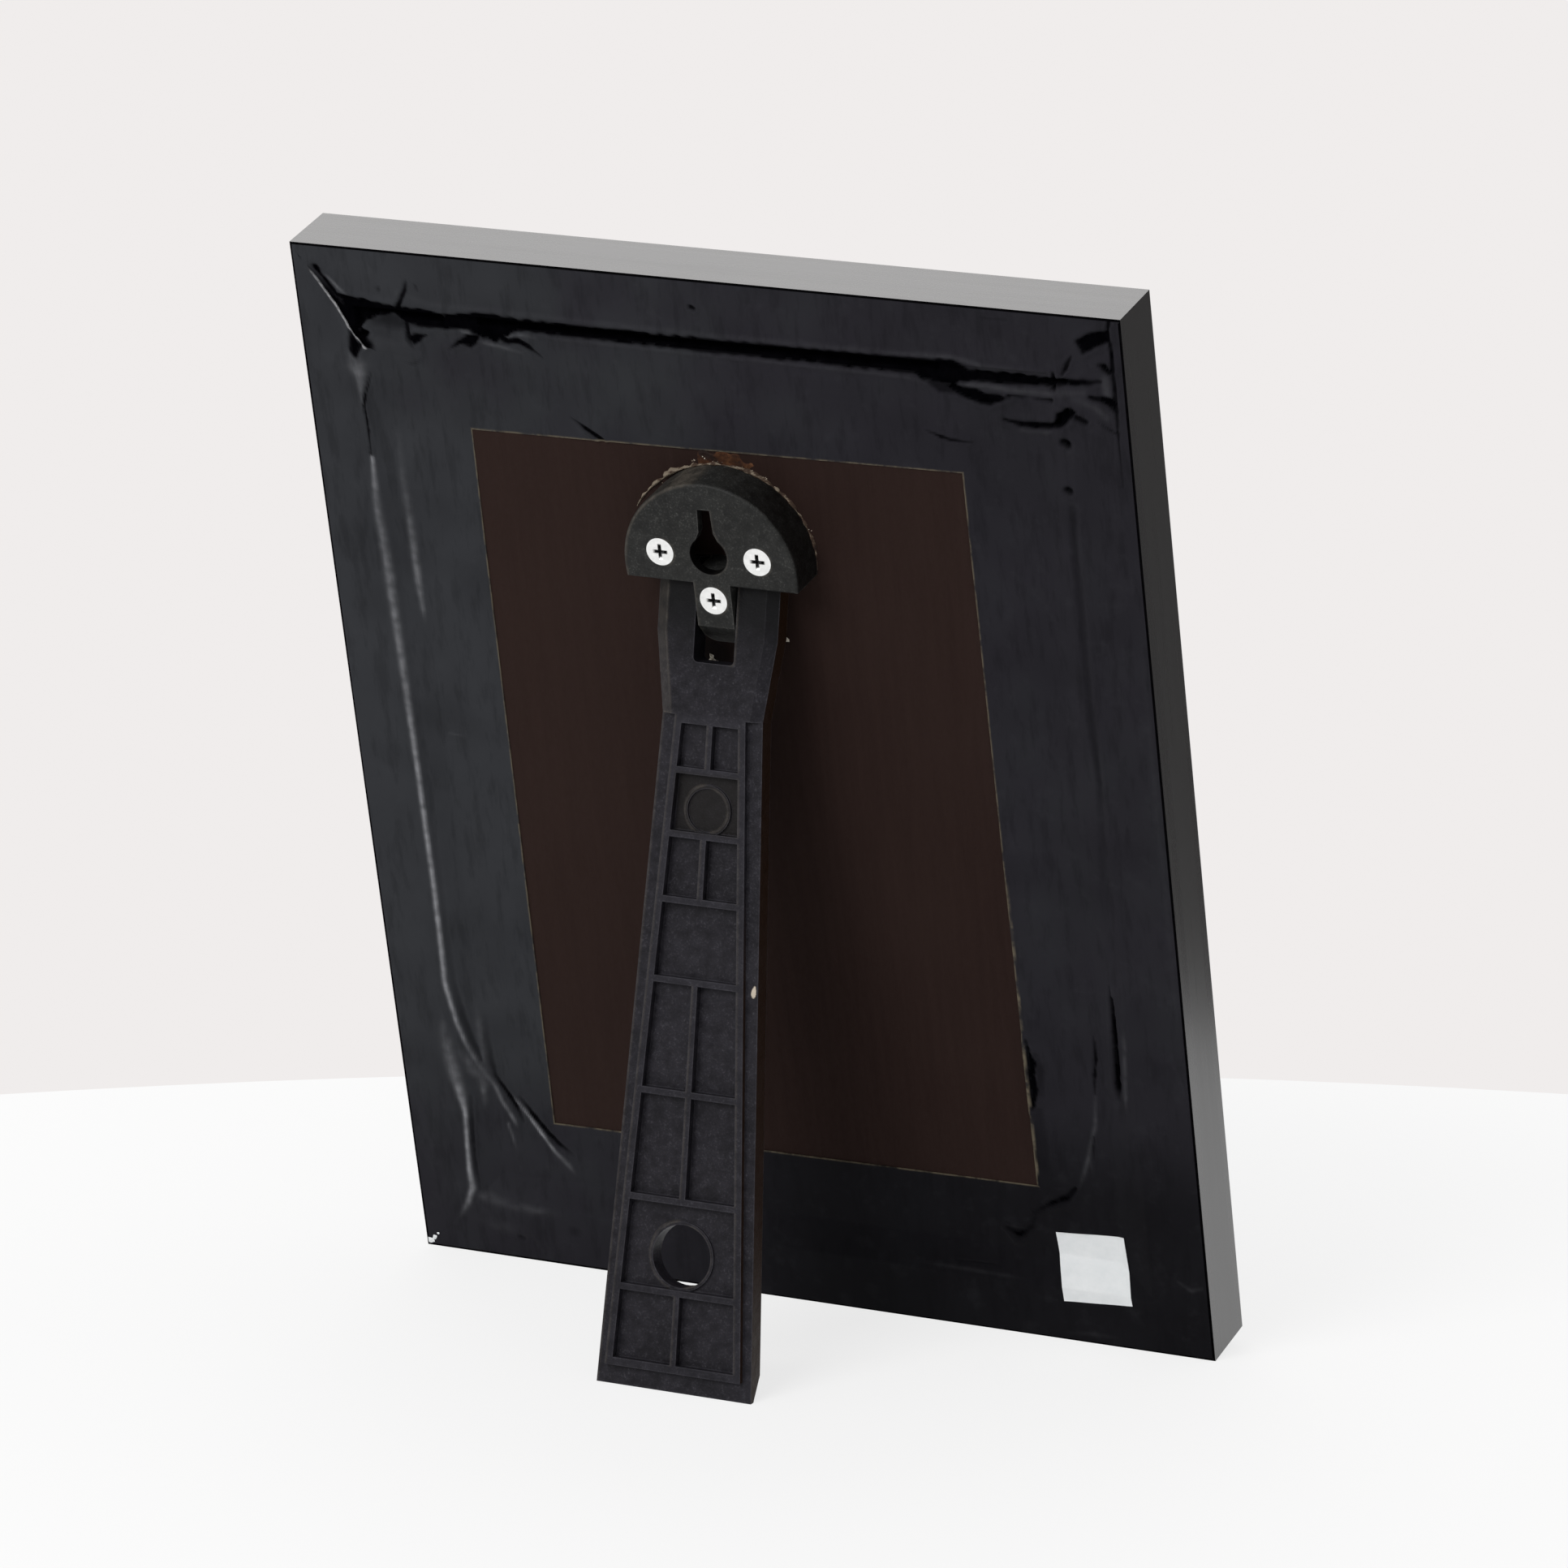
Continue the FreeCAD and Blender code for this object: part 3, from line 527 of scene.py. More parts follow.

# Raised folds with a painted highlight, paler than the tape: (u, v, half width, paleness) along each
FOLD_HIGHLIGHTS = [
    [(-77.6, 69.4, 0.3, 0.9), (-78, 58.8, 0.7, 0.5), (-77.4, 44.3, 0.85, 0.6), (-77.2, 29.5, 0.7, 0.65),
     (-77, 16.1, 0.55, 0.75), (-76.9, 1.2, 0.42, 0.95), (-76.8, -26.8, 0.42, 1.05),
     (-77, -40.6, 0.42, 1.05), (-77.3, -50.7, 0.42, 1.05), (-76.6, -55.6, 0.42, 1),
     (-75.8, -60.1, 0.42, 0.9), (-74.4, -64.5, 0.42, 0.68), (-73.2, -67, 0.5, 0.5),
     (-70.6, -71.6, 0.7, 0.35), (-68.7, -74, 0.45, 0.45), (-67.6, -77.4, 0.38, 0.6),
     (-65.1, -82, 0.36, 0.6), (-64.4, -84, 0.3, 0)],
    [(-70.6, 82, 0.4, 0), (-71.3, 66.8, 0.8, 0.25), (-71, 55.9, 0.75, 0.42), (-70.9, 42.8, 0.6, 0.7),
     (-70.7, 36, 0.45, 0.45), (-70.6, 32, 0.3, 0)],
    [(-78.8, -56.4, 0.4, 0), (-78.9, -62, 0.9, 0.28), (-78.7, -66.6, 1.1, 0.45), (-78, -72, 1.1, 0.60),
     (-77.1, -77, 0.8, 0.78), (-76.6, -81.4, 0.42, 1), (-77.1, -89.3, 0.38, 1.05),
     (-77.4, -95.2, 0.42, 1.05), (-77.3, -100, 0.55, 0.85), (-78.9, -103.7, 0.55, 0.6),
     (-81.4, -107.4, 0.5, 0.1)],
    [(-75.8, -67.4, 1, 0.20), (-73.4, -70.4, 1.6, 0.36), (-71.4, -72.4, 1.2, 0.30),
     (-71.6, -76, 0.6, 0.45), (-71.6, -80.5, 0.5, 0)],
    [(-65.2, -75.6, 0.3, 0.2), (-63.2, -78, 0.28, 0.7), (-61.5, -80.2, 0.3, 1), (-58.5, -84.9, 0.32, 1),
     (-56.4, -88.2, 0.38, 0.65), (-53.7, -90.9, 0.5, 0.4), (-51.8, -93.8, 0.4, 0)],
    [(-66.7, -83, 0.3, 0.5), (-66, -86.5, 0.25, 0.35), (-65.3, -90, 0.25, 0)],
    [(-70.4, -53, 0.5, 0), (-70.5, -60, 0.8, 0.3), (-70.3, -67, 0.7, 0.3), (-70, -71, 0.6, 0.15)],
    [(-78, -101.4, 0.6, 0.1), (-74, -101.6, 1.1, 0.26), (-68, -102.8, 0.9, 0.18),
     (-62.9, -103.2, 0.8, 0.28), (-56, -103, 0.6, 0)],
    [(-79, -106.4, 0.9, 0), (-72, -108, 1.2, 0.16), (-64, -109, 1, 0.05)],
    [(-79, 92.6, 0.6, 0.2), (-78.2, 89.6, 1.5, 0.55), (-77.9, 86.8, 0.8, 0.6), (-78.2, 82, 0.4, 0.3),
     (-78.4, 78, 0.3, 0)],
    [(-68.4, 8.2, 0.2, 0.25), (-65.1, 7.9, 0.2, 0.1)],
    [(-82.3, 108.6, 0.22, 0.35), (-80.1, 106.4, 0.25, 0.5), (-77.9, 105.2, 0.22, 0.1)],
    [(-55.2, 100.5, 0.35, 0.1), (-53, 100, 0.5, 0.5), (-50.6, 99.4, 0.3, 0.35)],
    [(-72.6, 95.2, 2.2, 0.12), (-67, 95.6, 2, 0.10)],
    [(-66.4, 106.2, 0.8, 0.12), (-60, 104.6, 0.5, 0.10), (-50, 104.6, 0.4, 0.10), (0, 103.9, 0.4, 0.12),
     (40, 103.9, 0.4, 0.14), (54, 104.3, 0.4, 0.22), (60, 102.9, 0.4, 0.2), (75, 102.6, 0.4, 0.08)],
    [(-34, 99.9, 0.4, 0.12), (0, 99.5, 0.4, 0.12), (44, 99, 0.4, 0.16), (50, 97.4, 0.4, 0)],
    [(-48.5, 97.4, 0.4, 0.3), (-45.5, 97, 0.4, 0.4), (-40.5, 96, 0.35, 0.15)],
    [(-43.4, 99.4, 0.35, 0.4), (-41, 100.1, 0.4, 0.35), (-37, 99.6, 0.4, 0.15)],
    [(55.3, 99, 0.35, 0.22), (60, 98.9, 0.5, 0.26), (66, 98.5, 0.6, 0.24), (73.8, 98.4, 0.6, 0.2),
     (81, 99.4, 0.5, 0.15)],
    [(85.9, 102.6, 0.8, 0.22), (86, 99.2, 0.7, 0.25)],
    [(79, 97.8, 0.9, 0.12), (83, 96.6, 0.6, 0.2), (85.4, 94.4, 0.6, 0.22)],
    [(67, 90, 0.5, 0.10), (73, 90.2, 0.4, 0.2)],
    [(76.3, -38, 0.3, 0), (76.4, -44.8, 0.35, 0.26), (75.6, -56.5, 0.35, 0.26), (75.2, -61, 0.3, 0)],
    [(69, -57, 0.3, 0.15), (68.4, -63.8, 0.4, 0.30), (67.2, -67.4, 0.35, 0.22), (66.1, -71.9, 0.4, 0.30),
     (64.6, -76.1, 0.4, 0.24), (63, -80.4, 0.3, 0)],
    [(66.2, -71.9, 0.3, 0.22), (67, -75.6, 0.3, 0.05)],
    [(18, -101.8, 0.3, 0), (34.1, -102, 0.4, 0.15), (44, -102.2, 0.35, 0.12), (51, -102.5, 0.3, 0)],
    [(83.4, -97.6, 0.3, 0.12), (86.3, -99.4, 0.4, 0.2), (88.6, -98.5, 0.3, 0.12)],
    [(58, -113.6, 0.3, 0.10), (64, -113, 0.5, 0.14), (70, -113.2, 0.3, 0.05)],
    [(88.5, 60, 0.5, 0), (88.4, 20, 0.5, 0.10), (88.6, -30, 0.5, 0.06), (88.6, -70, 0.5, 0)],
]
# Sharp valleys: (u, v, half width, darkness of the painted shade) along each
VALLEYS = [
    [(-84.8, 110.6, 0.6, 1), (-84.4, 110, 0.55, 1), (-83.7, 108.9, 0.3, 0.9), (-82.7, 107.6, 0.4, 1),
     (-80.8, 104.9, 0.45, 1), (-78.5, 104.1, 0.5, 1)],
    [(-64.5, 109.1, 0.25, 0.5), (-65.1, 107.3, 0.38, 0.9), (-66.6, 104.3, 0.38, 1), (-67.2, 103, 0.5, 1)],
    [(-70.8, 108, 0.3, 0), (-71, 106.8, 0.35, 0.45), (-71.2, 105.6, 0.3, 0)],
    [(-62.6, 108.4, 0.3, 0.4), (-62.4, 107.4, 0.3, 0.3)],
    [(-44.9, 98.9, 0.5, 1), (-43.3, 98.2, 0.6, 1), (-41, 98.5, 0.55, 1), (-39.1, 97.6, 0.5, 0.95),
     (-36.7, 95.9, 0.3, 0.45), (-35.3, 94.7, 0.2, 0)],
    [(-65.8, 100.2, 0.5, 0.9), (-65.6, 96.7, 0.4, 0.8), (-64.7, 94.4, 0.3, 0.1)],
    [(-57.1, 95.1, 0.2, 0.3), (-54.5, 96.8, 0.4, 1), (-52, 98, 0.6, 1)],
    [(-67.3, 90.6, 0.25, 0.1), (-64.8, 91.4, 0.4, 0.35), (-62.3, 93.2, 0.3, 0.05)],
    [(-31.2, 82.8, 0.2, 0.2), (-28.2, 80.6, 0.42, 1), (-24.8, 78.6, 0.42, 0.9)],
    [(-75.4, 88.2, 0.2, 0.2), (-77, 84, 0.26, 0.8), (-77.9, 80.6, 0.26, 0.9), (-77.6, 75.6, 0.24, 0.8),
     (-77.9, 70, 0.2, 0.6)],
    [(-75.6, 66, 1, 0), (-75.3, 50, 1.1, 0.10), (-75.3, 10, 0.9, 0.10), (-75.4, -40, 0.7, 0.14),
     (-75.3, -50, 0.6, 0.2), (-74.3, -58, 0.8, 0.42), (-72.7, -64.3, 0.8, 0.45), (-71.4, -68.4, 0.5, 0.4)],
    [(-69.1, -58, 0.8, 0.12), (-69, -66.9, 0.7, 0.30), (-68.3, -71.8, 0.5, 0.6),
     (-66.3, -74.8, 0.45, 0.95), (-64.4, -78.2, 0.45, 0.95), (-63, -81.8, 0.3, 0.3)],
    [(-63.2, -76.2, 0.4, 0.3), (-60.9, -79.4, 0.5, 0.95), (-57.6, -83.7, 0.5, 1), (-55, -86.4, 0.5, 0.8),
     (-52, -88.6, 0.4, 0.1)],
    [(-74.8, -77.4, 0.4, 0.2), (-75.6, -86, 0.4, 0.5), (-75.9, -93.1, 0.35, 0.45), (-75.6, -100, 0.3, 0.2)],
    [(-67.3, -110.1, 0.45, 0.4), (-66.5, -110.3, 0.45, 0.4)],
    [(-56, -107, 1, 0), (-54.3, -106.9, 1, 0.35), (-52, -107.2, 1, 0)],
    [(74.2, -30.6, 0.12, 0.2), (74.6, -36, 0.32, 0.95), (74.5, -42, 0.42, 1), (74.4, -48, 0.5, 1),
     (74.2, -54.5, 0.55, 1), (74.1, -56.6, 0.3, 0.3)],
    [(69.9, -43, 0.2, 0.3), (69.9, -48.1, 0.36, 0.9), (69.2, -53, 0.3, 0.85), (68.9, -56.6, 0.2, 0.3)],
    [(67.8, -66.5, 0.2, 0.4), (67.4, -70, 0.25, 0.5), (67.2, -72.5, 0.2, 0.1)],
    [(53, -86.2, 0.3, 0.5), (57.1, -83.4, 0.5, 1), (60.5, -81.8, 0.7, 1), (62.6, -79.2, 0.35, 0.9)],
    [(46.3, -90.8, 0.4, 0.6), (48.8, -92, 0.9, 1), (50.8, -90.9, 0.5, 0.8), (52.3, -89.3, 0.35, 0.6),
     (53.1, -86.4, 0.3, 0.4)],
    [(34.3, -100.5, 0.3, 0.3), (43.8, -100, 0.3, 0.3)],
    [(65, 97.2, 0.28, 0.7), (69.4, 97.2, 0.2, 0.35), (73.9, 96.8, 0.36, 0.8)],
    [(79.1, 93.9, 0.5, 1), (80.9, 93.1, 0.45, 1)],
    [(75.8, 88.2, 0.75, 0.95), (76.5, 87.8, 0.75, 0.95)],
    [(75.5, 78, 0.65, 0.9), (75.9, 77.7, 0.65, 0.9)],
    [(87.7, 115.2, 0.3, 1), (87.3, 112.9, 0.28, 1), (87.6, 109.6, 0.28, 0.95), (87.6, 104, 0.32, 1),
     (87.7, 98.5, 0.3, 0.9), (87.5, 91.5, 0.22, 0.7), (87.3, 80, 0.18, 0.3)],
    [(79, 106.8, 0.25, 0.5), (78, 104.8, 0.42, 1), (76.9, 102.8, 0.25, 0.5)],
    [(74.9, 102.8, 0.3, 0.8), (74.7, 99.6, 0.5, 1)],
    [(83.6, 93.2, 0.2, 0.3), (86.9, 91.4, 0.2, 0.6)],
    [(46.6, 87.9, 0.18, 0.2), (49.5, 86.9, 0.34, 0.9), (51.6, 86.4, 0.3, 0.85), (56.4, 86.2, 0.18, 0.4)],
    [(76.2, 74, 0.9, 0.26), (75.7, 64, 0.7, 0.37), (76, 54, 0.75, 0.32), (75.8, 40, 0.7, 0.28),
     (75.9, 27, 0.8, 0.36), (76.3, 18, 0.6, 0.40), (76.4, 13, 0.55, 0.34), (76, 6, 0.8, 0.19),
     (75.4, -6, 0.9, 0.16), (75.1, -18, 0.9, 0.06)],
    [(-1.6, 109.6, 0.4, 0.9), (-1, 109.3, 0.4, 0.9)],
    [(60.8, 113.2, 0.3, 0.2), (66, 113.2, 0.3, 0.2)],
    [(56.6, -49.6, 0.8, 0.36), (57.4, -53, 0.9, 0.42), (56.8, -58, 0.9, 0.24)],
    [(56, -62.5, 1.2, 0.26), (55.6, -75, 1.4, 0.26)],
    [(-73.2, 100.2, 1.2, 0.40), (-70, 100.6, 2.2, 0.50), (-66, 100, 1.4, 0.45)],
    [(-71.5, 97.6, 1.6, 0.16), (-68.5, 97.2, 1.6, 0.12)],
]
# Folded hollows as closed shapes, and how dark the painted shade in each is
HOLLOWS = [
    ([(-80, 104.9), (-74.5, 104.4), (-72.3, 103.9), (-66.7, 103.3), (-61.1, 103.2), (-57.2, 102.6),
      (-49.8, 103.5), (-45.5, 103.7), (-40.4, 103.2), (-29.3, 103.1), (0, 102.9), (30, 102.9),
      (46.3, 103.1), (53.3, 103.5), (55.5, 102.8), (57.4, 102), (61.8, 101.8), (68, 102), (74.6, 101.6),
      (81.3, 102), (84.9, 102), (81.8, 101.2), (75, 100.3), (68.3, 99.9), (61.6, 99.9), (57.7, 99.8),
      (55.1, 99.4), (54, 98.8), (50.8, 98.5), (47.5, 99), (45.5, 100.1), (30, 100.2), (0, 100.4),
      (-29.6, 100.8), (-40.7, 101), (-43.1, 99.8), (-44.6, 98.7), (-46.3, 98.1), (-48.5, 98.6),
      (-50.1, 99.4), (-52, 100.3), (-56.6, 99.9), (-62.6, 99.6), (-64.5, 100), (-67, 101), (-68.2, 102.2),
      (-73.7, 100.4), (-77, 97.8), (-78.8, 101.3)], 1),
    ([(-78.4, 97.7), (-76.2, 94.4), (-78.2, 91.5), (-79.2, 92.8)], 1),
    ([(-76.1, 98.1), (-74.6, 97.4), (-75.5, 95.7), (-76.6, 96)], 0.95),
    ([(-54, 97), (-52.1, 98.8), (-49.6, 98.9), (-50.4, 97.3), (-51.8, 96.4)], 1),
    ([(-65.1, 97.6), (-61.6, 97.9), (-63.5, 96.4), (-64.7, 95.7), (-65.5, 96.7)], 1),
    ([(54, 98.6), (55.6, 97.9), (58.1, 97.9), (60.2, 97.1), (65.2, 96.8), (63.5, 96.1), (61.1, 95),
      (58.9, 95), (56.2, 95.9), (53.8, 96.8), (51.9, 98.3)], 1),
    ([(47.8, 98.9), (54, 99.2), (53.8, 96.6), (50.2, 96.6)], 0.6),
    ([(82.2, 98.7), (84.3, 98.8), (87.6, 98.6), (87.7, 96), (85.8, 97.3), (83.9, 97.9)], 1),
    ([(63.7, 92), (67, 91.8), (70.3, 92), (74.2, 92.1), (75, 94.1), (76.2, 95.1), (78.2, 95.7),
      (79.1, 95.1), (78.3, 94.1), (75.3, 91.4), (70.3, 91), (66.9, 91)], 1),
    ([(80.6, 110), (81.9, 111.3), (84.7, 112.4), (87.3, 112.9), (87.1, 110.6), (84.2, 109.3),
      (81.6, 107.8), (81.1, 108.7)], 1),
    ([(84.6, 105.5), (86, 105.7), (87.4, 104.3), (86.7, 103.9), (85.4, 104.6)], 1),
    ([(54.9, -46), (55.6, -49), (56.4, -51.6), (56, -54), (56.2, -57), (55.3, -61.6), (54.6, -62),
      (54.7, -54.2)], 0.95),
]
LABEL = {"u": 64.7, "v": 17.4 - HALF_H, "half": 7.6, "turn": math.radians(4.0), "thick": 0.12}


def along_line(u, v, line):
    """Distance to a broken line of (u, v, half width, strength), and both values at the nearest place."""
    best = np.full(u.shape, 1e9)
    wide = np.ones(u.shape)
    strong = np.zeros(u.shape)
    for (u0, v0, w0, s0), (u1, v1, w1, s1) in zip(line, line[1:]):
        du, dv = u1 - u0, v1 - v0
        t = np.clip(((u - u0) * du + (v - v0) * dv) / (du * du + dv * dv), 0, 1)
        d = np.hypot(u - u0 - t * du, v - v0 - t * dv)
        near = d < best
        best = np.where(near, d, best)
        wide = np.where(near, w0 + t * (w1 - w0), wide)
        strong = np.where(near, s0 + t * (s1 - s0), strong)
    return best, wide, strong


def depth_inside(u, v, shape):
    """Distance to the edge of a closed shape, above zero inside it."""
    ring = shape + shape[:1]
    d = along_line(u, v, [(a, b, 1, 1) for a, b in ring])[0]
    odd = np.zeros(u.shape, bool)
    for (u0, v0), (u1, v1) in zip(ring, ring[1:]):
        if v0 != v1:
            odd ^= ((v0 > v) != (v1 > v)) & (u < u0 + (v - v0) * (u1 - u0) / (v1 - v0))
    return np.where(odd, d, -d)


def near_points(u, v, points, spare):
    """Which places lie in the box round these points."""
    us, vs = [p[0] for p in points], [p[1] for p in points]
    across = (u > min(us) - spare) & (u < max(us) + spare)
    return across & (v > min(vs) - spare) & (v < max(vs) + spare)


def smooth(x):
    """Soft step from 0 to 1."""
    x = np.clip(x, 0, 1)
    return x * x * (3 - 2 * x)


def waves(u, v, seed, short, long, count):
    """Seeded sum of plane waves, about -1 to 1."""
    rng = random.Random(seed)
    total = np.zeros(u.shape)
    for _ in range(count):
        size = rng.uniform(short, long)
        turn = rng.uniform(0, math.tau)
        phase = rng.uniform(0, math.tau)
        total += np.sin((u * math.cos(turn) + v * math.sin(turn)) * math.tau / size + phase)
    return total / math.sqrt(count)


def under_tape(u, v):
    """Level of what the tape must stay above."""
    top = HALF_H - v
    side = HALF_W - np.abs(u)
    edge = np.minimum.reduce([side, top, v + HALF_H])
    level = np.where(edge < RAIL_BACK + SPARE, 0.0, BOARD_LEVEL)
    gap = (top > RAIL_BACK + SPARE) & (top < RAIL_BACK + TOP_GAP - SPARE) & (side > RAIL_BACK + SPARE)
    level = np.where(gap, GAP_FLOOR, level)
    near = (np.abs(np.abs(u) - POINT_PLACE) < POINT_HALF + SPARE) & (top < POINT_REACH + SPARE)
    return np.where(near, np.maximum(level, POINT_LEVEL), level)


def resting_tape(u, v):
    """Level of the tape's skin before any fold."""
    drop = -BOARD_LEVEL
    levels = []
    for inward in (u + HALF_W, HALF_W - u, v + HALF_H):
        levels.append(-drop * np.clip((inward - RAIL_BACK) / LANDING, 0, 1))
    levels.append(-drop * smooth((HALF_H - v - RAIL_BACK + 0.1) / 1.2))
    return np.maximum.reduce(levels) + TAPE_LIFT


def tape_surface(u, v):
    """Outward level of the tape's skin, and the painted shade of its hollows, the painted highlights of its
    folds and its painted sheen, over the back's map.
    """
    rest = resting_tape(u, v)
    seen_u = u - SIGHT[0] * np.minimum(rest, 0)
    seen_v = v - SIGHT[1] * np.minimum(rest, 0)
    ragged = RAGGED * waves(u, v, 41, 0.9, 3.5, 10)
    change = np.zeros(u.shape)
    hollow_shade = np.zeros(u.shape)
    pale = np.zeros(u.shape)
    # Raised folds: their rise, and the painted highlight along each
    for line in FOLD_HIGHLIGHTS:
        here = near_points(seen_u, seen_v, line, CREASE_REACH)
        d, wide, strong = along_line(seen_u[here], seen_v[here], line)
        shape = np.exp(-(d / (1.12 * wide)) ** 2)
        broken = 1 + 0.22 * waves(seen_u[here], seen_v[here], 61, 1.2, 5.0, 10)
        pale[here] = np.maximum(pale[here], np.minimum(strong, 1.0) ** 1.7 * shape * broken)
        change[here] += FOLD_RISE * np.sqrt(strong) * wide * shape
    # Valleys and hollows: their depth, and the painted shade in them
    for line in VALLEYS:
        here = near_points(seen_u, seen_v, line, CREASE_REACH)
        d, wide, strong = along_line(seen_u[here], seen_v[here], line)
        d = np.abs(d + 0.5 * ragged[here])
        hollow_shade[here] = np.maximum(hollow_shade[here], strong * np.exp(-(d / (1.18 * wide)) ** 2.6))
        change[here] -= VALLEY_DEPTH * strong * np.exp(-(d / wide) ** 2)
        change[here] += 0.22 * strong * np.exp(-((d - 2.2 * wide) / wide) ** 2)
    for shape, dark in HOLLOWS:
        here = near_points(seen_u, seen_v, shape, CREASE_REACH)
        d = depth_inside(seen_u[here], seen_v[here], shape) + ragged[here]
        hollow_shade[here] = np.maximum(hollow_shade[here], dark * smooth((d + 0.68) / 1.0))
        change[here] -= HOLLOW_DEPTH * dark * smooth((d + 0.1) / 0.9)
        change[here] += 0.28 * dark * np.exp(-((d + 0.8) / 0.6) ** 2)
    corner = np.exp(-((np.hypot(HALF_W - np.abs(u), HALF_H - v)) / 30) ** 2)
    change += (0.018 + 0.07 * corner) * waves(u, v, 11, 5, 22, 16)
    change += 0.05 * waves(u * 0.5, v, 12, 30, 80, 8)
    reach = np.maximum(np.abs(u - LABEL["u"]), np.abs(v - LABEL["v"])) - LABEL["half"]
    calm = smooth((reach - 0.6) / 2.5)
    level = np.maximum(rest + change * calm, under_tape(u, v) + CLEAR)
    # Painted sheen: lighter to the upper left, darkest to the lower right
    painted_sheen = 1.0 - smooth((u + 92) / 150) * 0.55
    painted_sheen *= 0.42 + 0.58 * smooth((v + 124) / 100)
    painted_sheen *= 1.06 - 0.17 * smooth((v + 10) / 90)
    painted_sheen *= 1.0 - 0.22 * np.exp(-(np.hypot(u + 49, v - 88) / 12) ** 2)
    painted_sheen *= 1.0 - 0.82 * smooth((-58 - v) / 26) * smooth((u + 45) / 50)
    painted_sheen += 0.10 * waves(u, v, 13, 6, 45, 12) * painted_sheen
    return level, hollow_shade * calm, np.clip(pale * (1 - hollow_shade), 0, 1.2), np.clip(painted_sheen, 0, 1.1)


def add_object(name, data):
    obj = bpy.data.objects.new(name, data)
    bpy.context.scene.collection.objects.link(obj)
    return obj


def outward(mesh):
    """Turn the faces so that they look out of the frame's back."""
    mesh.update()
    if sum(p.normal.dot(OUT) for p in mesh.polygons[:200]) < 0:
        mesh.flip_normals()


def sheet_mesh(name, u, v, y, drop, key, attributes):
    """Skin over a grid of points, of one material, with a short skirt all round it."""
    rows, cols = u.shape
    top = np.column_stack([-u.ravel(), y.ravel(), v.ravel() + HALF_H])
    index = np.arange(rows * cols).reshape(rows, cols)
    ring = np.concatenate([index[0, :], index[1:, -1], index[-1, -2::-1], index[-2:0:-1, 0]])
    skirt = top[ring] - np.array([0, drop, 0])
    points = to_row(np.vstack([top, top[ring], skirt]))
    high = rows * cols + np.arange(len(ring))
    low = high + len(ring)
    quads = np.stack([index[:-1, :-1], index[:-1, 1:], index[1:, 1:], index[1:, :-1]], -1).reshape(-1, 4)
    after = np.roll(np.arange(len(ring)), -1)
    sides = np.stack([high, low, low[after], high[after]], -1)
    faces = np.vstack([quads, sides])
    mesh = bpy.data.meshes.new(name)
    mesh.vertices.add(len(points))
    mesh.vertices.foreach_set("co", points.astype(np.float32).ravel())
    mesh.loops.add(faces.size)
    mesh.loops.foreach_set("vertex_index", faces.astype(np.int32).ravel())
    mesh.polygons.add(len(faces))
    mesh.polygons.foreach_set("loop_start", np.arange(0, faces.size, 4, dtype=np.int32))
    mesh.update(calc_edges=True)
    mesh.polygons.foreach_set("use_smooth", np.ones(len(faces), bool))
    for channel, values in attributes.items():
        layer = mesh.attributes.new(channel, "FLOAT", "POINT")
        full = np.concatenate([values.ravel(), np.tile(values.ravel()[ring], 2)])
        layer.data.foreach_set("value", full.astype(np.float32))
    mesh.validate()
    mesh.materials.append(MATERIALS[key])
    outward(mesh)
    return add_object(name, mesh)


# Distance between the grid's points on a strip of tape
STEP = 0.4
# How far the top and bottom strips run in under the side strips, and dip there
TUCK = 0.35
TUCK_DIP = 0.02


def corner(name, margin=None):
    """Corner of the tape in the back's map: outer corner, or the window's."""
    across, down = (margin, margin) if margin is not None else WINDOW[name]
    u = across - HALF_W if "left" in name else HALF_W - across
    v = HALF_H - down if "top" in name else down - HALF_H
    return np.array([u, v])


def end_line(name, t, side):
    """Where a strip ends at a corner, for t from 0 at its outer to 1 at its inner edge."""
    outer, inner = corner(name, TAPE_MARGIN), corner(name)
    points = [outer, inner]
    places = [0.0, 1.0]
    if name == "top_left":
        tuck = 0.0 if side == "left" else 1.0
        cut = [np.array([a - tuck - HALF_W, HALF_H - b - tuck]) for a, b in CUT]
        far = np.array([CUT_END[0] - HALF_W, HALF_H - CUT_END[1]])
        points = [outer, *cut, far, inner]
        places = CUT_SHARES[side]
    u = np.interp(t, places, [p[0] for p in points])
    v = np.interp(t, places, [p[1] for p in points])
    return np.stack([u, v], -1)


def torn_mitre(side, u, v, y, hollow_shade):
    """Lift the left strip's torn end and clear the painted shade there, sink the top strip beside it and
    paint shade on it, and say how torn each place is.
    """
    torn = np.zeros(u.shape)
    line = [(a - HALF_W, HALF_H - b, 0.3, k) for (a, b), k in zip(CUT, (0.4, 1.0, 1.0))]
    here = near_points(u, v, line, 6.0)
    d, _, strong = along_line(u[here], v[here], line)
    if side == "left":
        torn[here] = (1 - smooth((d - 0.40) / 0.26)) * strong
        y[here] += 0.45 * np.exp(-(d / 1.3) ** 2) * strong
        hollow_shade[here] *= smooth((d - 0.62) / 0.5)
    if side == "top":
        y[here] -= 0.25 * np.exp(-(d / 1.0) ** 2) * strong
        y[:] = np.maximum(y, under_tape(u, v) + CLEAR)
        shade = 0.97 * np.exp(-(d / (0.6 + 1.1 * strong)) ** 4) * strong
        hollow_shade[here] = np.maximum(hollow_shade[here], shade)
    return torn


def blacken(mesh, hollow_shade):
    """Give the second material, flat black for painted shade, to the faces of a grid where the shade painted
    in the hollows is deepest.
    """
    deep = (hollow_shade[:-1, :-1] + hollow_shade[1:, 1:] + hollow_shade[:-1, 1:] + hollow_shade[1:, :-1]) / 4 > 0.85
    index = np.zeros(len(mesh.polygons), np.int32)
    index[:deep.size] = deep.ravel()
    mesh.polygons.foreach_set("material_index", index)


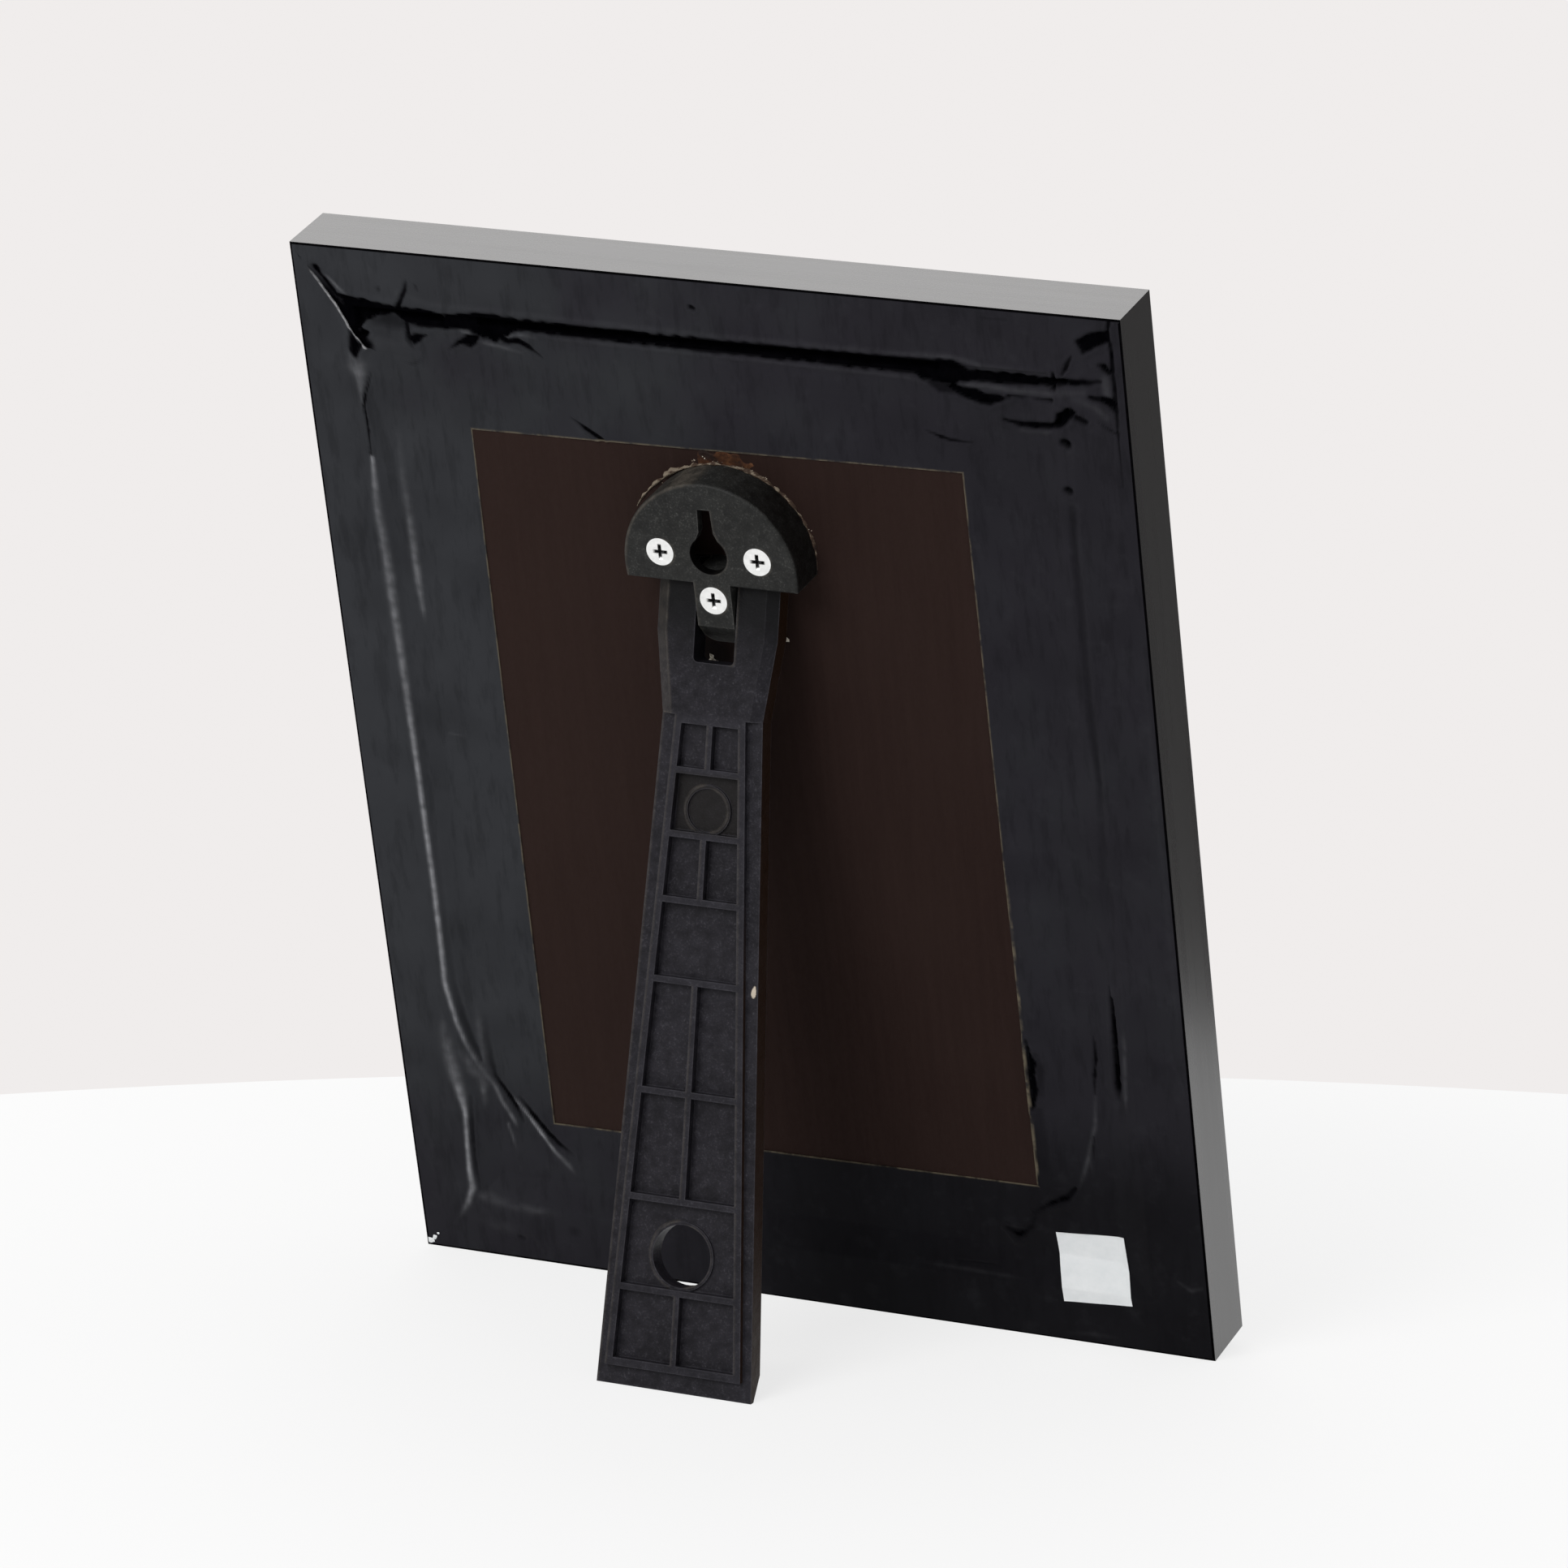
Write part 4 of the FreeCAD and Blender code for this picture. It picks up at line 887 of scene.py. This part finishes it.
def tape_strip(side, start, end):
    """One strip of tape between two corners of the frame."""
    across = int(TAPE_REACH / STEP)
    length = HEIGHT if side in ("left", "right") else WIDTH
    along = int(length / STEP)
    t = np.linspace(0, 1, across)
    s = np.linspace(0, 1, along)[:, None, None]
    near, far = end_line(start, t, side)[None], end_line(end, t, side)[None]
    tucked = side in ("top", "bottom")
    if tucked:
        way = math.copysign(1, far[0, 0, 0] - near[0, 0, 0])
        far[..., 0] += way * TUCK * (end != "top_left")
        near[..., 0] -= way * TUCK * (start != "top_left")
    grid = near * (1 - s) + far * s
    u, v = grid[..., 0], grid[..., 1]
    y, hollow_shade, pale, painted_sheen = tape_surface(u, v)
    gap = np.hypot(*(grid - grid[:, -1:, :]).transpose(2, 0, 1))
    pared = PARED
    if side == "right":
        pared = PARED + smooth((10 - v) / 50) * (0.20 + 0.16 * waves(u * 0, v, 71, 4.0, 16.0, 9))
    cut_edge = 1 - smooth((gap - pared) / PARED_SOFT)
    torn = torn_mitre(side, u, v, y, hollow_shade)
    y = y + 0.05 * (0.5 + 0.5 * waves(u, v, 3, 3, 9, 8)) * np.exp(-gap / 1.5)
    if tucked:
        mitre = np.abs((HALF_W - np.abs(u)) - (HALF_H - np.abs(v)))
        for name in (start, end):
            if name != "top_left":
                y = y - TUCK_DIP * smooth((1.4 - mitre) / 0.8) * ((u > 0) == ("right" in name))
    attributes = {"hollow_shade": hollow_shade, "painted_sheen": painted_sheen, "pale": pale, "cut_edge": cut_edge, "torn_edge": torn}
    obj = sheet_mesh("tape_skin_" + side, u, v, y, 0.25, "tape", attributes)
    obj.data.materials.append(MATERIALS["tape_painted_shade"])
    blacken(obj.data, hollow_shade)
    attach(obj, "frame")
    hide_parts("tape_" + side)


corners = ["top_left", "top_right", "bottom_right", "bottom_left"]
for side, start, end in zip(("top", "right", "bottom", "left"), corners, corners[1:] + corners[:1]):
    tape_strip(side, start, end)


def bare_label():
    """Small blank label that follows the tape."""
    a = np.linspace(-LABEL["half"], LABEL["half"], 60)
    au, av = np.meshgrid(a, a, indexing="ij")
    c, s = math.cos(LABEL["turn"]), math.sin(LABEL["turn"])
    u = LABEL["u"] + au * c - av * s
    v = LABEL["v"] + au * s + av * c
    edge = LABEL["half"] - np.maximum(np.abs(au), np.abs(av))
    curl = 0.10 * np.exp(-edge / 0.5) * (0.5 + 0.5 * waves(u, v, 21, 6, 14, 5))
    y = tape_surface(u, v)[0] + LABEL["thick"] + curl + 0.015 * waves(u, v, 22, 4, 12, 8)
    obj = sheet_mesh("label_skin", u, v, y, 0.14, "label", {})
    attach(obj, "frame")
    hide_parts("blank_label")


bare_label()


def flake(name, places, key, body):
    """Small irregular chips: each is (x, y, z upright, size, flatness)."""
    rng = random.Random(len(places) * 7 + len(name))
    verts, faces = [], []
    for x, y, z, size, flat in places:
        base = len(verts)
        rings = 7
        for k in range(rings):
            angle = math.tau * k / rings + rng.uniform(-0.25, 0.25)
            r = size * rng.uniform(0.6, 1.1)
            verts.append((x + r * math.cos(angle), y, z + r * math.sin(angle)))
        verts.append((x + rng.uniform(-0.2, 0.2) * size, y + flat, z + rng.uniform(-0.2, 0.2) * size))
        for k in range(rings):
            faces.append((base + k, base + (k + 1) % rings, base + rings))
    mesh = bpy.data.meshes.new(name)
    mesh.from_pydata([tuple(p) for p in to_row(verts)], [], faces)
    mesh.materials.append(MATERIALS[key])
    outward(mesh)
    obj = add_object(name, mesh)
    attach(obj, body)


def glue_specks():
    """Specks of glue and fibre round the bracket's foot and on the board."""
    rng = random.Random(42)
    places = []
    for _ in range(46):
        angle = math.radians(rng.choice((rng.gauss(88, 14), rng.uniform(10, 120))))
        r = BRACKET_RADIUS + abs(rng.gauss(0.15, 0.5))
        size = rng.choice((0.12, 0.16, 0.22, 0.3)) * rng.uniform(0.7, 1.3)
        x, z = -r * math.cos(angle), BRACKET_Z + r * math.sin(angle)
        places.append((x, BOARD_LEVEL, z, size, size * 0.8))
    for u, v, size in ((54.6, 41, 0.3), (55.0, 12, 0.16), (54.4, -30, 0.18)):
        places.append((-u, BOARD_LEVEL, v + HALF_H, size, size * 0.6))
    flake("glue_specks", places, "speck", "frame")
    # Pale chips on the board; the four in the leg's slot, at u from -6.9 to -4.4, are a painted glint
    chips = [(-u, BOARD_LEVEL, v + HALF_H, size, size * 0.5)
             for u, v, size in ((10.2, 37.7, 0.78), (-6.9, 32.1, 0.7), (-6.7, 31.1, 1.0), (-5.4, 30.7, 0.6),
                                (-4.4, 30.4, 0.5), (-3.7, 76.4, 0.5), (-2.9, 75.6, 0.35), (-3.3, 76.0, 0.4),
                                (-1.0, 74.9, 0.42), (-0.2, 74.7, 0.4), (0.6, 74.9, 0.42), (4.2, 73.3, 0.4))]
    flake("pale_chips", chips, "chip", "frame")


def foot_bead():
    """Broken bead of glue and fibre along the bracket's foot."""
    angle, across = np.meshgrid(np.radians(np.linspace(-6, 158, 740)), np.linspace(-1, 1, 7), indexing="ij")
    run = BRACKET_RADIUS * angle
    stops = np.radians([-6, 8, 30, 62, 84, 98, 112, 136, 158])
    half = np.interp(angle, stops, [0.10, 0.22, 0.29, 0.31, 0.32, 0.26, 0.42, 0.46, 0.06])
    half *= 1 + 0.45 * waves(run, run * 0, 51, 0.8, 4.5, 9)
    half = np.clip(half, 0.02, 0.9)
    clear = np.interp(angle, stops, [0, 0, 0, 0, 0, 0, 0.1, 0.8, 2.2])
    radius = BRACKET_RADIUS + clear + half * (0.6 + across)
    u = radius * np.cos(angle)
    v = BRACKET_Z - HALF_H + radius * np.sin(angle)
    y = BOARD_LEVEL + 1.5 * half * np.sqrt(1 - across ** 2) + 0.02
    bright = np.interp(angle, stops, [0.22, 0.48, 0.55, 0.60, 0.64, 0.60, 0.78, 0.90, 0.85])
    bright = np.clip(bright + 0.22 * waves(run, across, 52, 0.6, 3.0, 9), 0, 1)
    obj = sheet_mesh("foot_bead", u, v, y, 0.05, "bead", {"bright": bright})
    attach(obj, "frame")


def torn_patch():
    """Rubbed patch of the board above the bracket."""
    a = np.linspace(-1, 1, 40)
    au, av = np.meshgrid(a, a, indexing="ij")
    u = 0.4 + au * 7.4
    v = 75.7 + av * 2.4
    ragged = 1 - smooth((np.hypot(au, av) + 0.22 * waves(u, v, 31, 1.5, 5, 8) - 0.68) / 0.3)
    y = BOARD_LEVEL - 0.25 + 0.40 * ragged + 0.05 * ragged * waves(u, v, 32, 0.8, 2.5, 8)
    obj = sheet_mesh("torn_patch", u, v, y, 0.1, "torn", {})
    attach(obj, "frame")


glue_specks()
foot_bead()
torn_patch()
flake("mitre_chip", [(HALF_W - 1.0, 0.34, 1.3, 0.95, 0.15), (HALF_W - 2.0, 0.34, 2.2, 0.7, 0.12),
                     (HALF_W - 3.0, 0.34, 3.2, 0.35, 0.08)], "label", "frame")


def stage_material(name, colour, camera_share):
    """Matt studio surface, lifted towards white for direct, mirrored and refracted sight."""
    s = Shader(name)
    tone = s.noise(s.place(), 2.2, 4, 0.55)
    low = tuple(c * 0.985 for c in colour)
    s.surface(s.ramp(tone, (0.35, low), (0.65, colour)), 0.95, Specular_IOR_Level=0.1)
    white = s.fill(s.node("ShaderNodeEmission"), Color=(1, 1, 1, 1), Strength=1.0)
    share = s.ramp(s.vector("LENGTH", s.place()), (0.08, camera_share), (0.38, 0.992))
    s.blend(s.times(s.seen(), share), s.bsdf.outputs[0], white.outputs[0], "Material Output")
    return s.mat


# The table and all that follows is in metres
TABLE_CENTRE = (-0.288, 0.587)
TABLE_RADIUS = 0.844


def table_top():
    """Round pale table under the frame."""
    sides = 256
    x, y = TABLE_CENTRE
    verts = [(x, y, 0.0)]
    for k in range(sides):
        angle = math.tau * k / sides
        verts.append((x + TABLE_RADIUS * math.cos(angle), y + TABLE_RADIUS * math.sin(angle), 0.0))
    faces = [(0, k + 1, (k + 1) % sides + 1) for k in range(sides)]
    mesh = bpy.data.meshes.new("table_top")
    mesh.from_pydata(verts, [], faces)
    mesh.materials.append(stage_material("table_white", (0.93, 0.93, 0.93), 0.76))
    obj = add_object("table_top", mesh)


def studio_world():
    """Pale studio wall, with a dim side that the camera's own rays do not see."""
    world = bpy.data.worlds.new("studio")
    bpy.context.scene.world = world
    world.use_nodes = True
    w = Tree(world.node_tree)
    way = w.node("ShaderNodeTexCoord").outputs["Generated"]
    aside = w.vector("DOT_PRODUCT", way, Vector((-0.42, -0.87, -0.20)).normalized())
    dim = w.math("MULTIPLY", w.math("SUBTRACT", aside, 0.72), 1 / 0.17, True)
    camera_ray = w.node("ShaderNodeLightPath").outputs["Is Camera Ray"]
    dim = w.times(dim, w.math("SUBTRACT", 0.84, camera_ray, True))
    bright = w.math("SUBTRACT", 1.0, dim)
    backs = []
    for colour, strength in (((1.0, 0.99, 0.985), 0.45), ((0.871, 0.845, 0.838), 1.0)):
        back = w.node("ShaderNodeBackground")
        w.fill(back, Color=(*colour, 1), Strength=w.times(bright, strength))
        backs.append(back.outputs[0])
    w.blend(w.seen(), *backs, "World Output")


def softbox(name, direction, distance, size, power, aim=(0, 0, 0.12)):
    """Round area lamp that looks at the frame's middle."""
    data = bpy.data.lights.new(name, "AREA")
    data.shape = "DISK"
    data.size = size
    data.energy = power
    obj = add_object(name, data)
    way = Vector(direction).normalized()
    obj.location = Vector(aim) + way * distance
    obj.rotation_euler = way.to_track_quat("Z", "Y").to_euler()


table_top()
studio_world()
softbox("key", (0.30, 1.25, 0.95), 1.7, 0.95, 16.0)
softbox("top_back", (0.42, -0.66, 0.66), 1.5, 1.1, 3.75)

scene = bpy.context.scene
scene.view_settings.view_transform = "Standard"
optics = bpy.data.cameras.new("camera")
optics.lens = 197.4
optics.sensor_width = 36.0
optics.clip_start = 0.05
optics.clip_end = 50.0
camera = add_object("camera", optics)
camera.location = (-0.7270, 1.5012, 0.5519)
camera.rotation_euler = Vector((0.4191, -0.8721, -0.2526)).to_track_quat("-Z", "Y").to_euler()
scene.camera = camera
